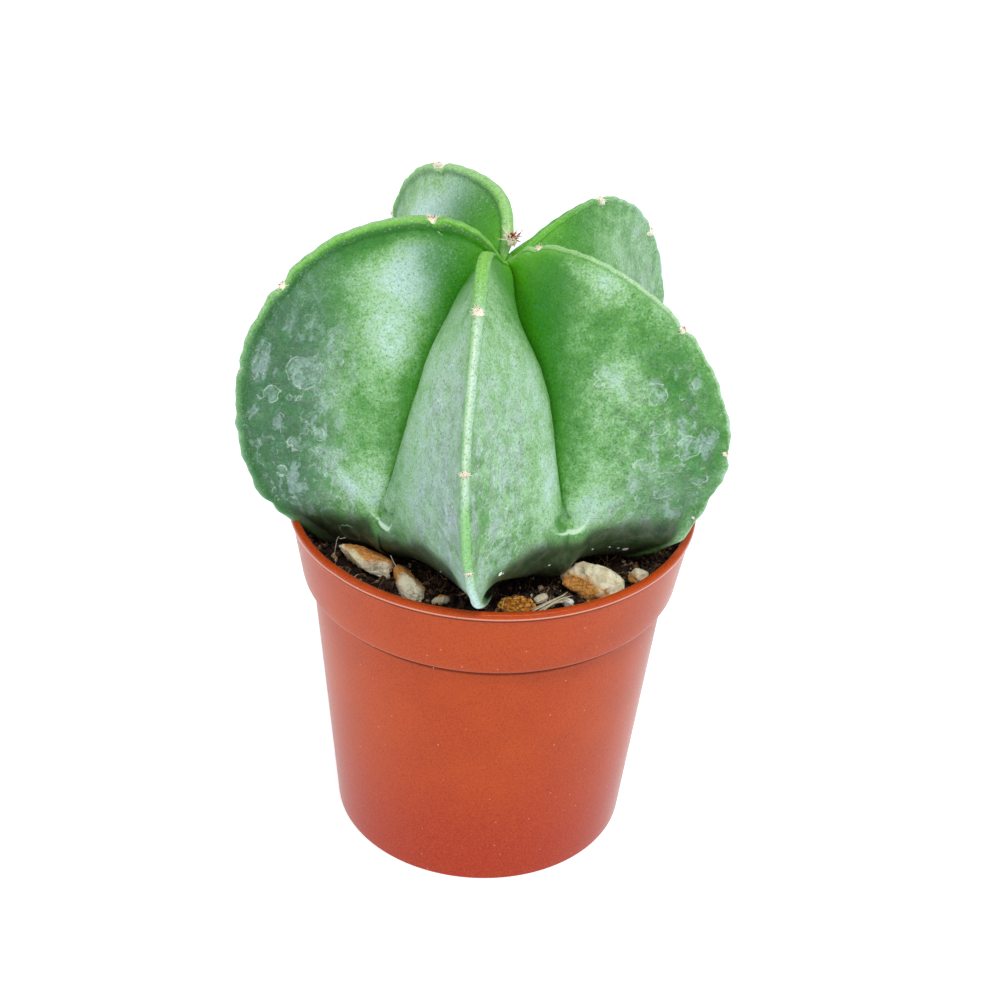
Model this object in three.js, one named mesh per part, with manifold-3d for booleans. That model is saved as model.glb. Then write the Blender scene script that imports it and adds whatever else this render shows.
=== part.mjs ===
// A five-ribbed bishop's cap cactus growing in a small plastic nursery pot.
// Millimetres, +Z up. The origin is the middle of the pot's underside, and -Y is the front.
// The pot, the potting mix, the plant and what lies on the mix are separate solids, GAP apart.
import * as THREE from "three";
import { mergeVertices } from "three/addons/utils/BufferGeometryUtils.js";
import Module from "manifold-3d";

const wasm = await Module();
wasm.setup();

// ---- driving dimensions ----
const GAP = 0.3; // clearance between touching pieces

const RIM_RADIUS = 27.5; // pot, outside the lip
const POT_HEIGHT = 50.3;
const BAND_HEIGHT = 10.9; // collar under the lip
const BODY_TOP_RADIUS = 24.3; // pot wall where the collar starts
const FOOT_RADIUS = 20.4;
const WALL = 0.8;
const FLOOR = 1.2;
const DRAIN_COUNT = 6;
const DRAIN_RADIUS = 1.8;
const DRAIN_CIRCLE = 12.5;
const POT_SIDES = 48;

const SOIL_LEVEL = 46.4;
const SOIL_RELIEF = 0.55; // height of the lumps on the mix

const RIB_COUNT = 5;
const RIB_STEP = (2 * Math.PI) / RIB_COUNT;
const HALF_STEP = RIB_STEP / 2;
const FRONT_RIB_AZIMUTH = -96.4; // degrees from +X
const BEAD_RADIUS = { crown: 1.25, side: 0.8 }; // rounded cord along each crest
const RIB_WEB = 1.7; // half thickness of a rib a third of the way in from its crest

// Crest of a rib from the sunken crown, over the top and down to the root collar: radius, height.
const CREST = [
  [1.0, 86.8], [4.0, 89.8], [8.5, 91.6], [14.5, 91.7], [20.8, 89.4],
  [26.6, 84.8], [31.0, 78.4], [33.6, 71.0], [34.0, 63.5], [32.2, 57.0],
  [28.8, 52.5], [23.6, 49.3], [18.0, 47.2], [11.0, 44.8], [5.5, 42.0],
];

// Where a flank rolls over into the furrow, point for point beside the crest.
const FOLD = [
  [1.0, 86.2], [4.4, 86.0], [8.6, 84.8], [12.4, 82.6], [15.6, 79.4],
  [17.8, 75.4], [19.2, 71.0], [20.2, 66.4], [21.0, 61.8], [21.2, 57.6],
  [20.4, 54.2], [18.8, 51.0], [15.2, 48.0], [10.0, 44.8], [5.4, 42.0],
];

// Bottom of the furrow between two ribs, point for point beside the crest.
const FURROW = [
  [0.8, 85.8], [1.8, 84.6], [3.8, 82.6], [6.6, 79.8], [9.4, 76.6],
  [11.8, 73.0], [13.8, 69.0], [15.6, 64.8], [17.4, 60.8], [19.2, 57.2],
  [19.6, 54.2], [18.6, 51.0], [15.2, 48.0], [10.0, 44.8], [5.4, 42.0],
];

// Each rib: its turn from the front rib in steps, how far it reaches, where along the crest its
// areoles are, and its bends. A bend moves the crest near one crest point: the point, how many
// points wide, and how far out, up and across to anticlockwise.
const RIBS = [
  { name: "front", turn: 0, reach: 1, areoles: [4.0, 6.6, 8.5],
    bends: [[2.2, 1.8, 0, 0, -1.2], [10.5, 3, 0, 0, 2.2]] },
  { name: "right", turn: 1, reach: 0.955, areoles: [1.2, 4.9, 7.5, 9.2],
    bends: [[3.6, 2.6, 0, -3, 0], [9.5, 1.6, -0.5, -0.2, 0], [10.5, 3, 0, 0, 0.6]] },
  { name: "right_rear", turn: 2, reach: 0.97, areoles: [3.5, 5.6, 7.6, 9.2],
    bends: [[1.8, 2.6, 0, -3.2, -0.6]] },
  { name: "left_rear", turn: 3, reach: 1.01, areoles: [3.9, 6, 7.8, 9.3],
    bends: [[1.6, 1.6, 0, 0.8, -2.8], [4.2, 1.8, 0, 1.2, 1]] },
  { name: "left", turn: 4, reach: 1.005, areoles: [2.15, 5.2, 6.85, 7.6, 9.6],
    bends: [[1, 2.6, 0, 0.5, 0], [9.5, 1.6, 0, -0.9, 0], [10.5, 3, 0, 0, 2.4]] },
];
const FURROW_DRIFT = [0, 1, -1, 1, -4]; // degrees that the furrow after each rib is turned from halfway

// ---- finishes ----
const finish = (colour, roughness) => new THREE.MeshStandardMaterial({ color: colour, roughness, metalness: 0 });
const potPlastic = finish(0xc4532c, 0.45);
const pottingMix = finish(0x2b1c12, 0.95);
const greenSkin = finish(0x5f9a4c, 0.5);
const rootBark = finish(0x9a7448, 0.85);
const areoleWool = finish(0xd8bd9c, 0.95);
const ochreStone = finish(0xc99a55, 0.8);
const paleStone = finish(0xcfc3a0, 0.8);
const dryStraw = finish(0xcdbf9a, 0.85);
const barkChip = finish(0x5a3a22, 0.9);
const rustCrumb = finish(0xb0702a, 0.9);
const perlite = finish(0xf0ece2, 0.85);

// ---- mesh and solid helpers ----
// The same surface with shared vertices, carrying position only.
function welded(geometry) {
  const bare = geometry.clone();
  bare.deleteAttribute("normal");
  bare.deleteAttribute("uv");
  return mergeVertices(bare, 1e-4);
}

function solidOf(geometry) {
  const shape = welded(geometry);
  return new wasm.Manifold(
    new wasm.Mesh({
      numProp: 3,
      vertProperties: new Float32Array(shape.attributes.position.array),
      triVerts: new Uint32Array(shape.index.array),
    }),
  );
}

function geometryOf(solid) {
  const mesh = solid.getMesh();
  const geometry = new THREE.BufferGeometry();
  geometry.setAttribute("position", new THREE.BufferAttribute(mesh.vertProperties, 3));
  geometry.setIndex(new THREE.BufferAttribute(mesh.triVerts, 1));
  geometry.computeVertexNormals();
  return geometry;
}

// The surface moved out along its normals, for cutting the seat that a piece rests in.
function grown(geometry, distance) {
  const shape = welded(geometry);
  shape.computeVertexNormals();
  const { position, normal } = shape.attributes;
  for (let i = 0; i < position.count; i++) {
    position.setXYZ(
      i,
      position.getX(i) + normal.getX(i) * distance,
      position.getY(i) + normal.getY(i) * distance,
      position.getZ(i) + normal.getZ(i) * distance,
    );
  }
  return shape;
}

// The mesh's geometry where the mesh stands.
function placed(mesh) {
  mesh.updateMatrix();
  return mesh.geometry.clone().applyMatrix4(mesh.matrix);
}

// A profile of [radius, height] points turned about Z.
function turned(profile, sides) {
  const points = profile.map(([radius, height]) => new THREE.Vector2(radius, height));
  return new THREE.LatheGeometry(points, sides).rotateX(Math.PI / 2);
}

const curveThrough = (points) => new THREE.SplineCurve(points.map(([x, y]) => new THREE.Vector2(x, y)));
const mix = (a, b, share) => a + (b - a) * share;
const bell = (x, centre, width) => Math.exp(-(((x - centre) / width) ** 2));

function named(name, geometry, material) {
  const mesh = new THREE.Mesh(geometry, material);
  mesh.name = name;
  return mesh;
}

// ---- pot: one injection moulding with a collar, a rolled lip, a foot ring and drain holes ----
const BAND_FOOT = POT_HEIGHT - BAND_HEIGHT;

function makePot() {
  const recess = 0.6; // how far the underside is lifted between the centre pad and the foot ring
  const padRadius = 8.5;
  const ringInside = FOOT_RADIUS - 2.4;
  const profile = [
    [0, 0], [padRadius, 0], [padRadius + 0.4, recess], [ringInside, recess], [ringInside + 0.4, 0],
    [FOOT_RADIUS - 0.7, 0], [FOOT_RADIUS - 0.2, 0.25], [FOOT_RADIUS, 0.8],
    [BODY_TOP_RADIUS, BAND_FOOT], [BODY_TOP_RADIUS + 1.1, BAND_FOOT + 0.25],
    [BODY_TOP_RADIUS + 1.3, BAND_FOOT + 0.7], [RIM_RADIUS - 0.35, POT_HEIGHT - 0.95],
    [RIM_RADIUS - 0.02, POT_HEIGHT - 0.75], [RIM_RADIUS, POT_HEIGHT - 0.3],
    [RIM_RADIUS - 0.25, POT_HEIGHT], [RIM_RADIUS - 0.75, POT_HEIGHT], [RIM_RADIUS - 1, POT_HEIGHT - 0.3],
    [BODY_TOP_RADIUS + 0.4, BAND_FOOT + 1.1], [BODY_TOP_RADIUS - WALL, BAND_FOOT - 0.2],
    [FOOT_RADIUS - WALL, FLOOR + 1.2], [FOOT_RADIUS - WALL - 0.6, FLOOR], [0, FLOOR],
  ];
  let pot = solidOf(turned(profile, POT_SIDES));
  for (let i = 0; i < DRAIN_COUNT; i++) {
    const angle = (i / DRAIN_COUNT) * 2 * Math.PI;
    const drill = new THREE.CylinderGeometry(DRAIN_RADIUS, DRAIN_RADIUS, 4 * FLOOR, 12).rotateX(Math.PI / 2);
    drill.translate(DRAIN_CIRCLE * Math.cos(angle), DRAIN_CIRCLE * Math.sin(angle), FLOOR / 2);
    pot = pot.subtract(solidOf(drill));
  }
  return named("pot", geometryOf(pot), potPlastic);
}

// ---- cactus: one fleshy body of five ribs ----
const crestCurve = curveThrough(CREST);
const foldCurve = curveThrough(FOLD);
const furrowCurve = curveThrough(FURROW);
const LAST = CREST.length - 1;

// Radius, height and sideways shift of a rib's crest at a place from 0, the crown, to LAST, the collar.
function crestAt(rib, place) {
  const point = crestCurve.getPoint(place / LAST);
  const free = Math.min(1, (LAST - place) / 3); // nothing moves at the collar
  const crest = { radius: point.x * mix(1, rib.reach, free), height: point.y, shift: 0 };
  for (const [centre, width, out, up, across] of rib.bends) {
    const share = bell(place, centre, width);
    crest.radius += out * share;
    crest.height += up * share;
    crest.shift += across * share;
  }
  return crest;
}

// Angle from a rib to the furrow on one side of it, 1 anticlockwise or -1 clockwise seen from above.
function furrowAngle(rib, side) {
  const before = (rib.turn + (side > 0 ? 0 : RIB_COUNT - 1)) % RIB_COUNT;
  return side * HALF_STEP + THREE.MathUtils.degToRad(FURROW_DRIFT[before]);
}

// A point on a rib's flank, in the rib's own axes: along the rib, across it and up.
// across runs from 0 on the crest to 1 in the furrow, and the curve is a Bezier that
// leaves the crest thin and rolls over into the furrow.
function flankPoint(rib, place, across, side) {
  const crest = crestAt(rib, place);
  const fold = foldCurve.getPoint(place / LAST);
  const furrow = furrowCurve.getPoint(place / LAST);
  const angle = furrowAngle(rib, side);
  const inner = [furrow.x * Math.cos(angle), furrow.x * Math.sin(angle), furrow.y];
  const outer = [crest.radius, crest.shift, crest.height];
  const reach = crest.radius - inner[0];
  const depth = Math.hypot(reach, crest.height - furrow.y);
  const web = Math.min(RIB_WEB, 0.2 * depth);
  const near = [crest.radius - 0.42 * reach, side * web + 0.6 * crest.shift, mix(crest.height, furrow.y, 0.34)];
  const far = [fold.x * Math.cos(0.97 * angle), fold.x * Math.sin(0.97 * angle), fold.y];
  const keep = 1 - across;
  const weights = [keep ** 3, 3 * keep ** 2 * across, 3 * keep * across ** 2, across ** 3];
  const point = [0, 1, 2].map(
    (i) => weights[0] * outer[i] + weights[1] * near[i] + weights[2] * far[i] + weights[3] * inner[i],
  );
  const thin = THREE.MathUtils.smoothstep(place, 2, 7);
  const bead = Math.min(mix(BEAD_RADIUS.crown, BEAD_RADIUS.side, thin), 0.3 * depth);
  const inward = (across * depth * 1.26) / bead; // arc length from the crest, in bead radii
  if (inward < 1) point[1] += side * bead * Math.sqrt(1 - (1 - inward) ** 2);
  else if (inward < 4) point[1] += side * bead * (0.5 + 0.5 * Math.cos((Math.PI * (inward - 1)) / 3));
  return point;
}

const ribAngle = (rib) => THREE.MathUtils.degToRad(FRONT_RIB_AZIMUTH) + rib.turn * RIB_STEP;

function inWorld([along, across, up], angle) {
  return new THREE.Vector3(
    along * Math.cos(angle) - across * Math.sin(angle),
    along * Math.sin(angle) + across * Math.cos(angle),
    up,
  );
}

function cactusSurface() {
  const rings = 2 * LAST;
  const steps = [0, 0.025, 0.075, 0.2, 0.42, 0.66, 0.86];
  const outline = [];
  for (const rib of RIBS) {
    for (const step of [1, ...steps.slice(1).reverse()]) outline.push([rib, step, -1]);
    for (const step of steps) outline.push([rib, step, 1]);
  }
  const vertices = [];
  for (let ring = 0; ring <= rings; ring++) {
    const place = (ring / rings) * LAST;
    for (const [rib, across, side] of outline) {
      vertices.push(...inWorld(flankPoint(rib, place, across, side), ribAngle(rib)).toArray());
    }
  }
  const around = outline.length;
  const faces = [];
  for (let ring = 0; ring < rings; ring++) {
    for (let i = 0; i < around; i++) {
      const [a, b] = [ring * around + i, ring * around + ((i + 1) % around)];
      faces.push(a, a + around, b, b, a + around, b + around);
    }
  }
  const crown = vertices.length / 3;
  vertices.push(0, 0, FURROW[0][1] - 0.3, 0, 0, CREST[LAST][1] - 0.3);
  for (let i = 0; i < around; i++) {
    const next = (i + 1) % around;
    faces.push(crown, i, next);
    faces.push(crown + 1, rings * around + next, rings * around + i);
  }
  const geometry = new THREE.BufferGeometry();
  geometry.setAttribute("position", new THREE.Float32BufferAttribute(vertices, 3));
  geometry.setIndex(faces);
  return geometry;
}

// ---- areoles: a felted cushion with spine stubs in a notch of the crest ----
const AREOLE_RADIUS = 1.0;
const CROWN_TUFT_RADIUS = 1.5;

function lump(radius, detail, stretch, seed, roughness) {
  const shape = welded(new THREE.IcosahedronGeometry(1, detail));
  const { position } = shape.attributes;
  for (let i = 0; i < position.count; i++) {
    const v = new THREE.Vector3().fromBufferAttribute(position, i);
    const wave =
      Math.sin(3.1 * v.x + 1.7 * seed) * Math.cos(2.7 * v.y + seed) + 0.6 * Math.sin(5.3 * v.z + 2.3 * v.x + 3 * seed);
    v.multiplyScalar(radius * (1 + roughness * wave));
    position.setXYZ(i, v.x * stretch[0], v.y * stretch[1], v.z * stretch[2]);
  }
  return shape;
}

function areoleMesh(rib, place, index) {
  const here = inWorld(flankPoint(rib, place, 0, 1), ribAngle(rib));
  const mesh = named(
    `areole_${rib.name}_${index + 1}`,
    lump(AREOLE_RADIUS, 0, [1, 1, 1], index + rib.turn, 0.08),
    areoleWool,
  );
  mesh.position.copy(here);
  return mesh;
}

// ---- roots: a short stock with side roots, hidden in the mix ----
function rootBranch(azimuth, start, length, drop, radius) {
  const branch = new THREE.CylinderGeometry(0.35 * radius, radius, length, 7, 6).translate(0, length / 2, 0);
  const { position } = branch.attributes;
  const turn = THREE.MathUtils.degToRad(azimuth);
  for (let i = 0; i < position.count; i++) {
    const [x, along, z] = [position.getX(i), position.getY(i), position.getZ(i)];
    const share = Math.max(0, along / length);
    const out = along * Math.cos(0.5 * share);
    const wander = 1.6 * Math.sin(3 * share + azimuth);
    const side = wander - x;
    position.setXYZ(
      i,
      out * Math.cos(turn) - side * Math.sin(turn),
      out * Math.sin(turn) + side * Math.cos(turn),
      start + z - drop * share ** 1.5,
    );
  }
  return branch;
}

function makeRoots() {
  const collar = CREST[LAST][1] - 0.3 - GAP;
  const stock = turned([[0, 10], [0.6, 11], [1.6, 20], [2.8, 30], [4.6, 38], [5.2, collar - 0.6], [4.4, collar], [0, collar]], 12);
  let roots = solidOf(stock);
  const branches = 6;
  for (let i = 0; i < branches; i++) {
    const branch = rootBranch(20 + i * 61, 36 - 2.6 * i, 15 - 0.6 * i, 8 + i, 1.3 - 0.08 * i);
    roots = roots.add(solidOf(branch));
  }
  return named("root_system", geometryOf(roots), rootBark);
}

// ---- what lies on the mix: gravel, straw, bark and crumbs ----
// Each: name, finish, half sizes, centre on the mix (x, y), height of its centre, turn and tilt in degrees, seed.
const GRAVEL = [
  { name: "gravel_ochre_long", material: ochreStone, half: [4.9, 1.9, 1.9], at: [-16.8, -12.6, 47.9], turn: -41, tilt: 4, seed: 1.3 },
  { name: "gravel_pale_oval", material: paleStone, half: [4.2, 2.0, 1.8], at: [-9.6, -17.6, 47.7], turn: -58, tilt: -4, seed: 4.1 },
  { name: "gravel_cream_large", material: paleStone, half: [4.4, 2.5, 2.2], at: [14.4, -16.2, 47.9], turn: -14, tilt: 6, seed: 2.2 },
  { name: "gravel_cream_small", material: paleStone, half: [1.9, 1.5, 1.5], at: [20.2, -12.2, 47.6], turn: 40, tilt: 0, seed: 5.4 },
  { name: "gravel_grey_chip", material: paleStone, half: [1.5, 1.0, 1.0], at: [-5.6, -20.6, 46.9], turn: 15, tilt: 0, seed: 6.6 },
  { name: "gravel_rear_ochre", material: ochreStone, half: [2.9, 2.1, 1.8], at: [4.6, 21.4, 47.4], turn: 12, tilt: 0, seed: 3.5 },
  { name: "gravel_rear_pale", material: paleStone, half: [2.2, 1.7, 1.5], at: [-16.0, 14.6, 47.3], turn: 70, tilt: 0, seed: 7.9 },
  { name: "rust_crumb", material: rustCrumb, half: [2.5, 1.7, 1.1], at: [3.9, -20.9, 47.3], turn: 6, tilt: 0, seed: 8.2 },
  { name: "perlite_grain_1", material: perlite, half: [0.9, 0.7, 0.7], at: [10.3, -19.6, 47.3], turn: 0, tilt: 0, seed: 9.1 },
  { name: "perlite_grain_2", material: perlite, half: [0.8, 0.7, 0.6], at: [21.6, 7.6, 47.1], turn: 30, tilt: 0, seed: 2.9 },
  { name: "seed_husk", material: dryStraw, half: [1.3, 0.6, 0.5], at: [6.9, -19.0, 47.3], turn: 35, tilt: 0, seed: 0.4 },
  { name: "bark_chip_1", material: barkChip, half: [2.3, 1.1, 0.7], at: [22.6, -4.6, 47.2], turn: 75, tilt: 6, seed: 5.9 },
  { name: "bark_chip_2", material: barkChip, half: [1.8, 0.9, 0.6], at: [-22.2, 2.2, 47.1], turn: 100, tilt: 5, seed: 1.9 },
];

function gravelMesh({ name, material, half, at, turn, tilt, seed }) {
  const detail = Math.max(...half) > 2.5 ? 2 : 1;
  const mesh = named(name, lump(1, detail, half, seed, 0.07), material);
  mesh.position.set(...at);
  mesh.rotation.set(0, THREE.MathUtils.degToRad(tilt), THREE.MathUtils.degToRad(turn), "ZYX");
  return mesh;
}

function strawMesh() {
  const [width, thickness, length] = [0.8, 0.45, 6.6];
  const outline = new THREE.Shape();
  outline.absellipse(0, 0, width / 2, thickness / 2, 0, 2 * Math.PI);
  const path = new THREE.QuadraticBezierCurve3(
    new THREE.Vector3(-length / 2, 0, 0),
    new THREE.Vector3(0, 0.5, 0.5),
    new THREE.Vector3(length / 2, 0, 0.9),
  );
  const geometry = new THREE.ExtrudeGeometry(outline, { steps: 8, curveSegments: 3, extrudePath: path });
  const mesh = named("straw", geometry, dryStraw);
  mesh.position.set(8.3, -21.4, 48.1);
  mesh.rotation.z = THREE.MathUtils.degToRad(38);
  return mesh;
}

// ---- potting mix: a plug that fills the pot, lumpy on top, with a seat for each piece set in it ----
function makeMix(seats) {
  const edge = RIM_RADIUS - 1 - GAP - 0.8;
  const rings = [24, 21, 18, 15, 12];
  const profile = [
    [0, FLOOR + GAP], [FOOT_RADIUS - WALL - 0.8 - GAP, FLOOR + GAP],
    [FOOT_RADIUS - WALL - GAP, FLOOR + 1.4], [BODY_TOP_RADIUS - WALL - GAP, BAND_FOOT - 0.2],
    [BODY_TOP_RADIUS + 0.35 - GAP, BAND_FOOT + 1.1], [edge, SOIL_LEVEL],
    ...rings.map((radius) => [radius, SOIL_LEVEL]), [0, SOIL_LEVEL],
  ];
  const plug = welded(turned(profile, POT_SIDES));
  const { position } = plug.attributes;
  for (let i = 0; i < position.count; i++) {
    const [x, y, z] = [position.getX(i), position.getY(i), position.getZ(i)];
    if (z < SOIL_LEVEL - 0.01) continue;
    const swell = Math.sin(0.9 * x + 0.4) * Math.cos(0.8 * y) + 0.7 * Math.sin(1.7 * y + 0.6 * x);
    position.setZ(i, z + SOIL_RELIEF * swell);
  }
  let soil = solidOf(plug);
  for (const seat of seats) soil = soil.subtract(solidOf(grown(seat, GAP)));
  const [main] = soil.decompose().sort((a, b) => b.volume() - a.volume());
  return named("potting_mix", geometryOf(main), pottingMix);
}

// ---- assembly ----
const plant = new THREE.Group();

const body = cactusSurface();
const areoles = RIBS.flatMap((rib) => rib.areoles.map((place, index) => areoleMesh(rib, place, index)));
const crownTuft = named("areole_crown", lump(CROWN_TUFT_RADIUS, 1, [1, 0.9, 0.9], 2.5, 0.1), areoleWool);
crownTuft.position.set(0.7, 0.2, FURROW[0][1] + 2);

let flesh = solidOf(body);
for (const tuft of [...areoles, crownTuft]) flesh = flesh.subtract(solidOf(grown(placed(tuft), GAP)));
const cactus = named("cactus_body", geometryOf(flesh), greenSkin);
const roots = makeRoots();
const toppings = [...GRAVEL.map(gravelMesh), strawMesh()];

plant.add(makePot(), makeMix([body, roots.geometry, ...toppings.map(placed)]));
plant.add(cactus, roots, ...areoles, crownTuft, ...toppings);

export default plant;
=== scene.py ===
# A young five-ribbed bishop's cap cactus in a terracotta-coloured nursery pot, built as it is put together.
# Sizes are in millimetres and every mesh is stored in metres: +Z is up, -Y is the front, and the origin is
# the middle of the pot's underside.
import functools
import math

import bpy
import numpy as np
from mathutils import Matrix, Vector, noise


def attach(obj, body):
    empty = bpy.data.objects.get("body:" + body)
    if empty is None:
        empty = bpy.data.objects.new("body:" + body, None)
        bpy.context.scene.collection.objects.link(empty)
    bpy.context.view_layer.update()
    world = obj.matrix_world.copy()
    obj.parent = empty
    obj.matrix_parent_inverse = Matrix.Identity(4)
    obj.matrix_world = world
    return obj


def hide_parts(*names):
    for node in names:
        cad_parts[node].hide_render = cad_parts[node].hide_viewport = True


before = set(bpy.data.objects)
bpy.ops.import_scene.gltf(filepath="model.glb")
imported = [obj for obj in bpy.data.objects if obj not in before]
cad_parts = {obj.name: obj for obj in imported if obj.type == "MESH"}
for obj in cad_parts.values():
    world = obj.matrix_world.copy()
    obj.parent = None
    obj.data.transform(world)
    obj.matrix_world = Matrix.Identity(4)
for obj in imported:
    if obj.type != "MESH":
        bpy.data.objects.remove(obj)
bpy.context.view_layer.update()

# ---- the bench ----
# A wide white table top with a faint glow of its own, in a bright white room, with a wide soft box over the
# front, a small one at the side, and a camera that looks down on the plant from in front.
MM = 0.001
AIM = Vector((1.0, 0, 49.8))
DISTANCE = 300
LOOKS_DOWN, LEANS = 32.75, 2.97  # degrees
DAYLIGHT = (0.97, 0.985, 1, 1)
PLANT_MIDDLE = Vector((0, 0, 60))
TABLE_HALF = 8000

camera = bpy.data.objects.new("camera", bpy.data.cameras.new("camera"))
bpy.context.collection.objects.link(camera)
bpy.context.scene.camera = camera
camera.data.sensor_width = 36
camera.data.lens = 79.92
camera.data.clip_start = 0.01
stance = Matrix.Rotation(math.radians(90 - LOOKS_DOWN), 4, "X") @ Matrix.Rotation(math.radians(LEANS), 4, "Z")
step_back = Matrix.Translation((0, 0, DISTANCE * MM))
camera.matrix_world = Matrix.Translation(AIM * MM) @ stance @ step_back

bpy.context.scene.view_settings.view_transform = "Standard"
room = bpy.data.worlds.new("room")
bpy.context.scene.world = room
room.use_nodes = True
room.node_tree.nodes["Background"].inputs["Color"].default_value = DAYLIGHT
room.node_tree.nodes["Background"].inputs["Strength"].default_value = 0.68


def lamp(name, at, width, height, watts):
    """A soft box that shines on the middle of the plant."""
    light = bpy.data.lights.new(name, "AREA")
    light.shape = "RECTANGLE"
    light.size, light.size_y = width * MM, height * MM
    light.energy = watts
    holder = bpy.data.objects.new(name, light)
    holder.location = Vector(at) * MM
    holder.rotation_euler = (PLANT_MIDDLE * MM - holder.location).to_track_quat("-Z", "Y").to_euler()
    bpy.context.collection.objects.link(holder)


lamp("key_lamp", (150, -260, 620), 460, 80, 2.1)
lamp("side_lamp", (-420, -160, 260), 200, 200, 0.2)


def tint(code):
    """A screen colour as the linear values that a shader takes."""
    parts = [int(code[i : i + 2], 16) / 255 for i in (0, 2, 4)]
    return tuple(part / 12.92 if part < 0.04 else ((part + 0.055) / 1.055) ** 2.4 for part in parts)


class Shade:
    """A socket in a finish's node tree. Arithmetic on it adds Math nodes, or Vector Math on a vector."""

    def __init__(self, tree, socket=None):
        self.tree = tree
        self.socket = socket

    def node(self, kind, settings, values, out=0):
        """A new node of that kind, with its settings made first and then its sockets filled or linked."""
        node = self.tree.nodes.new("ShaderNode" + kind)
        for name, setting in settings.items():
            if name == "stops":
                ramp = node.color_ramp.elements
                for place, _ in setting[1:-1]:
                    ramp.new(place)
                for element, (place, colour) in zip(ramp, setting):
                    element.position = place
                    element.color = (*colour, 1)
            else:
                setattr(node, name, setting)
        for name, value in values.items():
            socket = node.inputs[name]
            if isinstance(value, Shade):
                self.tree.links.new(value.socket, socket)
            elif isinstance(value, tuple) and socket.type == "RGBA":
                socket.default_value = (*value, 1)
            else:
                socket.default_value = value
        return Shade(self.tree, node.outputs[out])

    def maths(self, operation, *values):
        if self.socket.type == "VECTOR":
            values = [(value,) * 3 if isinstance(value, (int, float)) else value for value in values]
            return self.node("VectorMath", {"operation": operation}, dict(enumerate(values)))
        return self.node("Math", {"operation": operation}, dict(enumerate(values)))

    def __add__(self, other):
        return self.maths("ADD", self, other)

    def __radd__(self, other):
        return self.maths("ADD", other, self)

    def __sub__(self, other):
        return self.maths("SUBTRACT", self, other)

    def __rsub__(self, other):
        return self.maths("SUBTRACT", other, self)

    def __mul__(self, other):
        return self.maths("MULTIPLY", self, other)

    def __rmul__(self, other):
        return self.maths("MULTIPLY", other, self)

    def __abs__(self):
        return self.maths("ABSOLUTE", self)

    def least(self, other):
        return self.maths("MINIMUM", self, other)

    def step(self, low, high):
        """0 below low, 1 above high and a smooth rise between; the other way round if low is above high."""
        ends = {"Value": self, "From Min": min(low, high), "From Max": max(low, high)}
        ends.update({"To Min": 0, "To Max": 1} if low < high else {"To Min": 1, "To Max": 0})
        return self.node("MapRange", {"interpolation_type": "SMOOTHSTEP"}, ends)

    def blend(self, under, over):
        """The colour under where this value is 0 and over where it is 1, as screen colours or Shades."""
        under, over = (tint(colour) if isinstance(colour, str) else colour for colour in (under, over))
        return self.node("Mix", {"data_type": "RGBA"}, {0: self, 6: under, 7: over}, 2)

    def ramp(self, *stops):
        """A colour that runs through stops of a value and a screen colour."""
        stops = [(value, tint(code)) for value, code in stops]
        return self.node("ValToRGB", {"stops": stops}, {"Fac": self})

    def noise(self, scale, detail=2.0, rough=0.5, twist=0.0):
        values = {"Vector": self, "Scale": scale, "Detail": detail, "Roughness": rough, "Distortion": twist}
        return self.node("TexNoise", {}, values)

    def cells(self, scale, feature="F1", out=0):
        return self.node("TexVoronoi", {"feature": feature}, {"Vector": self, "Scale": scale}, out)


class Finish:
    """A material: its millimetre coordinates, its mesh attributes, and its shader's sockets."""

    def __init__(self, name, **constants):
        self.material = bpy.data.materials.new(name)
        self.material.use_nodes = True
        tree = self.material.node_tree
        self.shader = tree.nodes["Principled BSDF"]
        for socket, value in constants.items():
            self.shader.inputs[socket.replace("_", " ")].default_value = value
        self.start = Shade(tree)
        self.at = self.start.node("TexCoord", {}, {}, 3) * 1000

    def reads(self, attribute):
        return self.start.node("Attribute", {"attribute_name": attribute}, {}, 2)

    def height(self):
        return self.start.node("SeparateXYZ", {}, {"Vector": self.at}, 2)

    def bumps(self, height, depth):
        """A normal from a height of 0 to 1 that stands for a depth in millimetres."""
        return self.start.node("Bump", {}, {"Height": height, "Distance": depth * MM, "Strength": 1.0})

    def feed(self, **links):
        for socket, value in links.items():
            self.start.tree.links.new(value.socket, self.shader.inputs[socket.replace("_", " ")])
        return self.material


def solid(name, points, faces):
    """A mesh object from points in millimetres."""
    mesh = bpy.data.meshes.new(name)
    mesh.from_pydata((np.asarray(points) * MM).tolist(), [], [list(map(int, face)) for face in faces])
    thing = bpy.data.objects.new(name, mesh)
    bpy.context.collection.objects.link(thing)
    return thing


corners = [(x * TABLE_HALF, y * TABLE_HALF, 0) for x, y in ((-1, -1), (1, -1), (1, 1), (-1, 1))]
sweep = solid("sweep", corners, [(0, 1, 2, 3)])
paper = Finish("white_sweep", Roughness=0.9, Emission_Color=DAYLIGHT, Emission_Strength=0.62)
grain = paper.at.noise(0.08, 3)
sweep.data.materials.append(paper.feed(Base_Color=grain.blend("cfe2e8", "d6e8ee")))

# ---- pot ----
# One thin injection moulding in terracotta-coloured polypropylene: a tapering wall, a wider collar under a
# rolled lip, and a lifted floor with a foot ring, a centre pad and six drain holes.
RIM_RADIUS = 27.5
POT_HEIGHT = 50.3
BAND_FOOT = POT_HEIGHT - 10.9
BODY_TOP_RADIUS = 24.3
FOOT_RADIUS = 20.4
PAD_RADIUS = 8.5
WALL = 0.8
FLOOR = 1.2
DRAINS = 6
DRAIN_RADIUS = 1.8
DRAIN_CIRCLE = 12.5


def laid(colour, *coats):
    """The colour with each coat of a mask and a colour laid over it in turn."""
    for mask, over in coats:
        colour = mask.blend(colour, over)
    return colour


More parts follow.
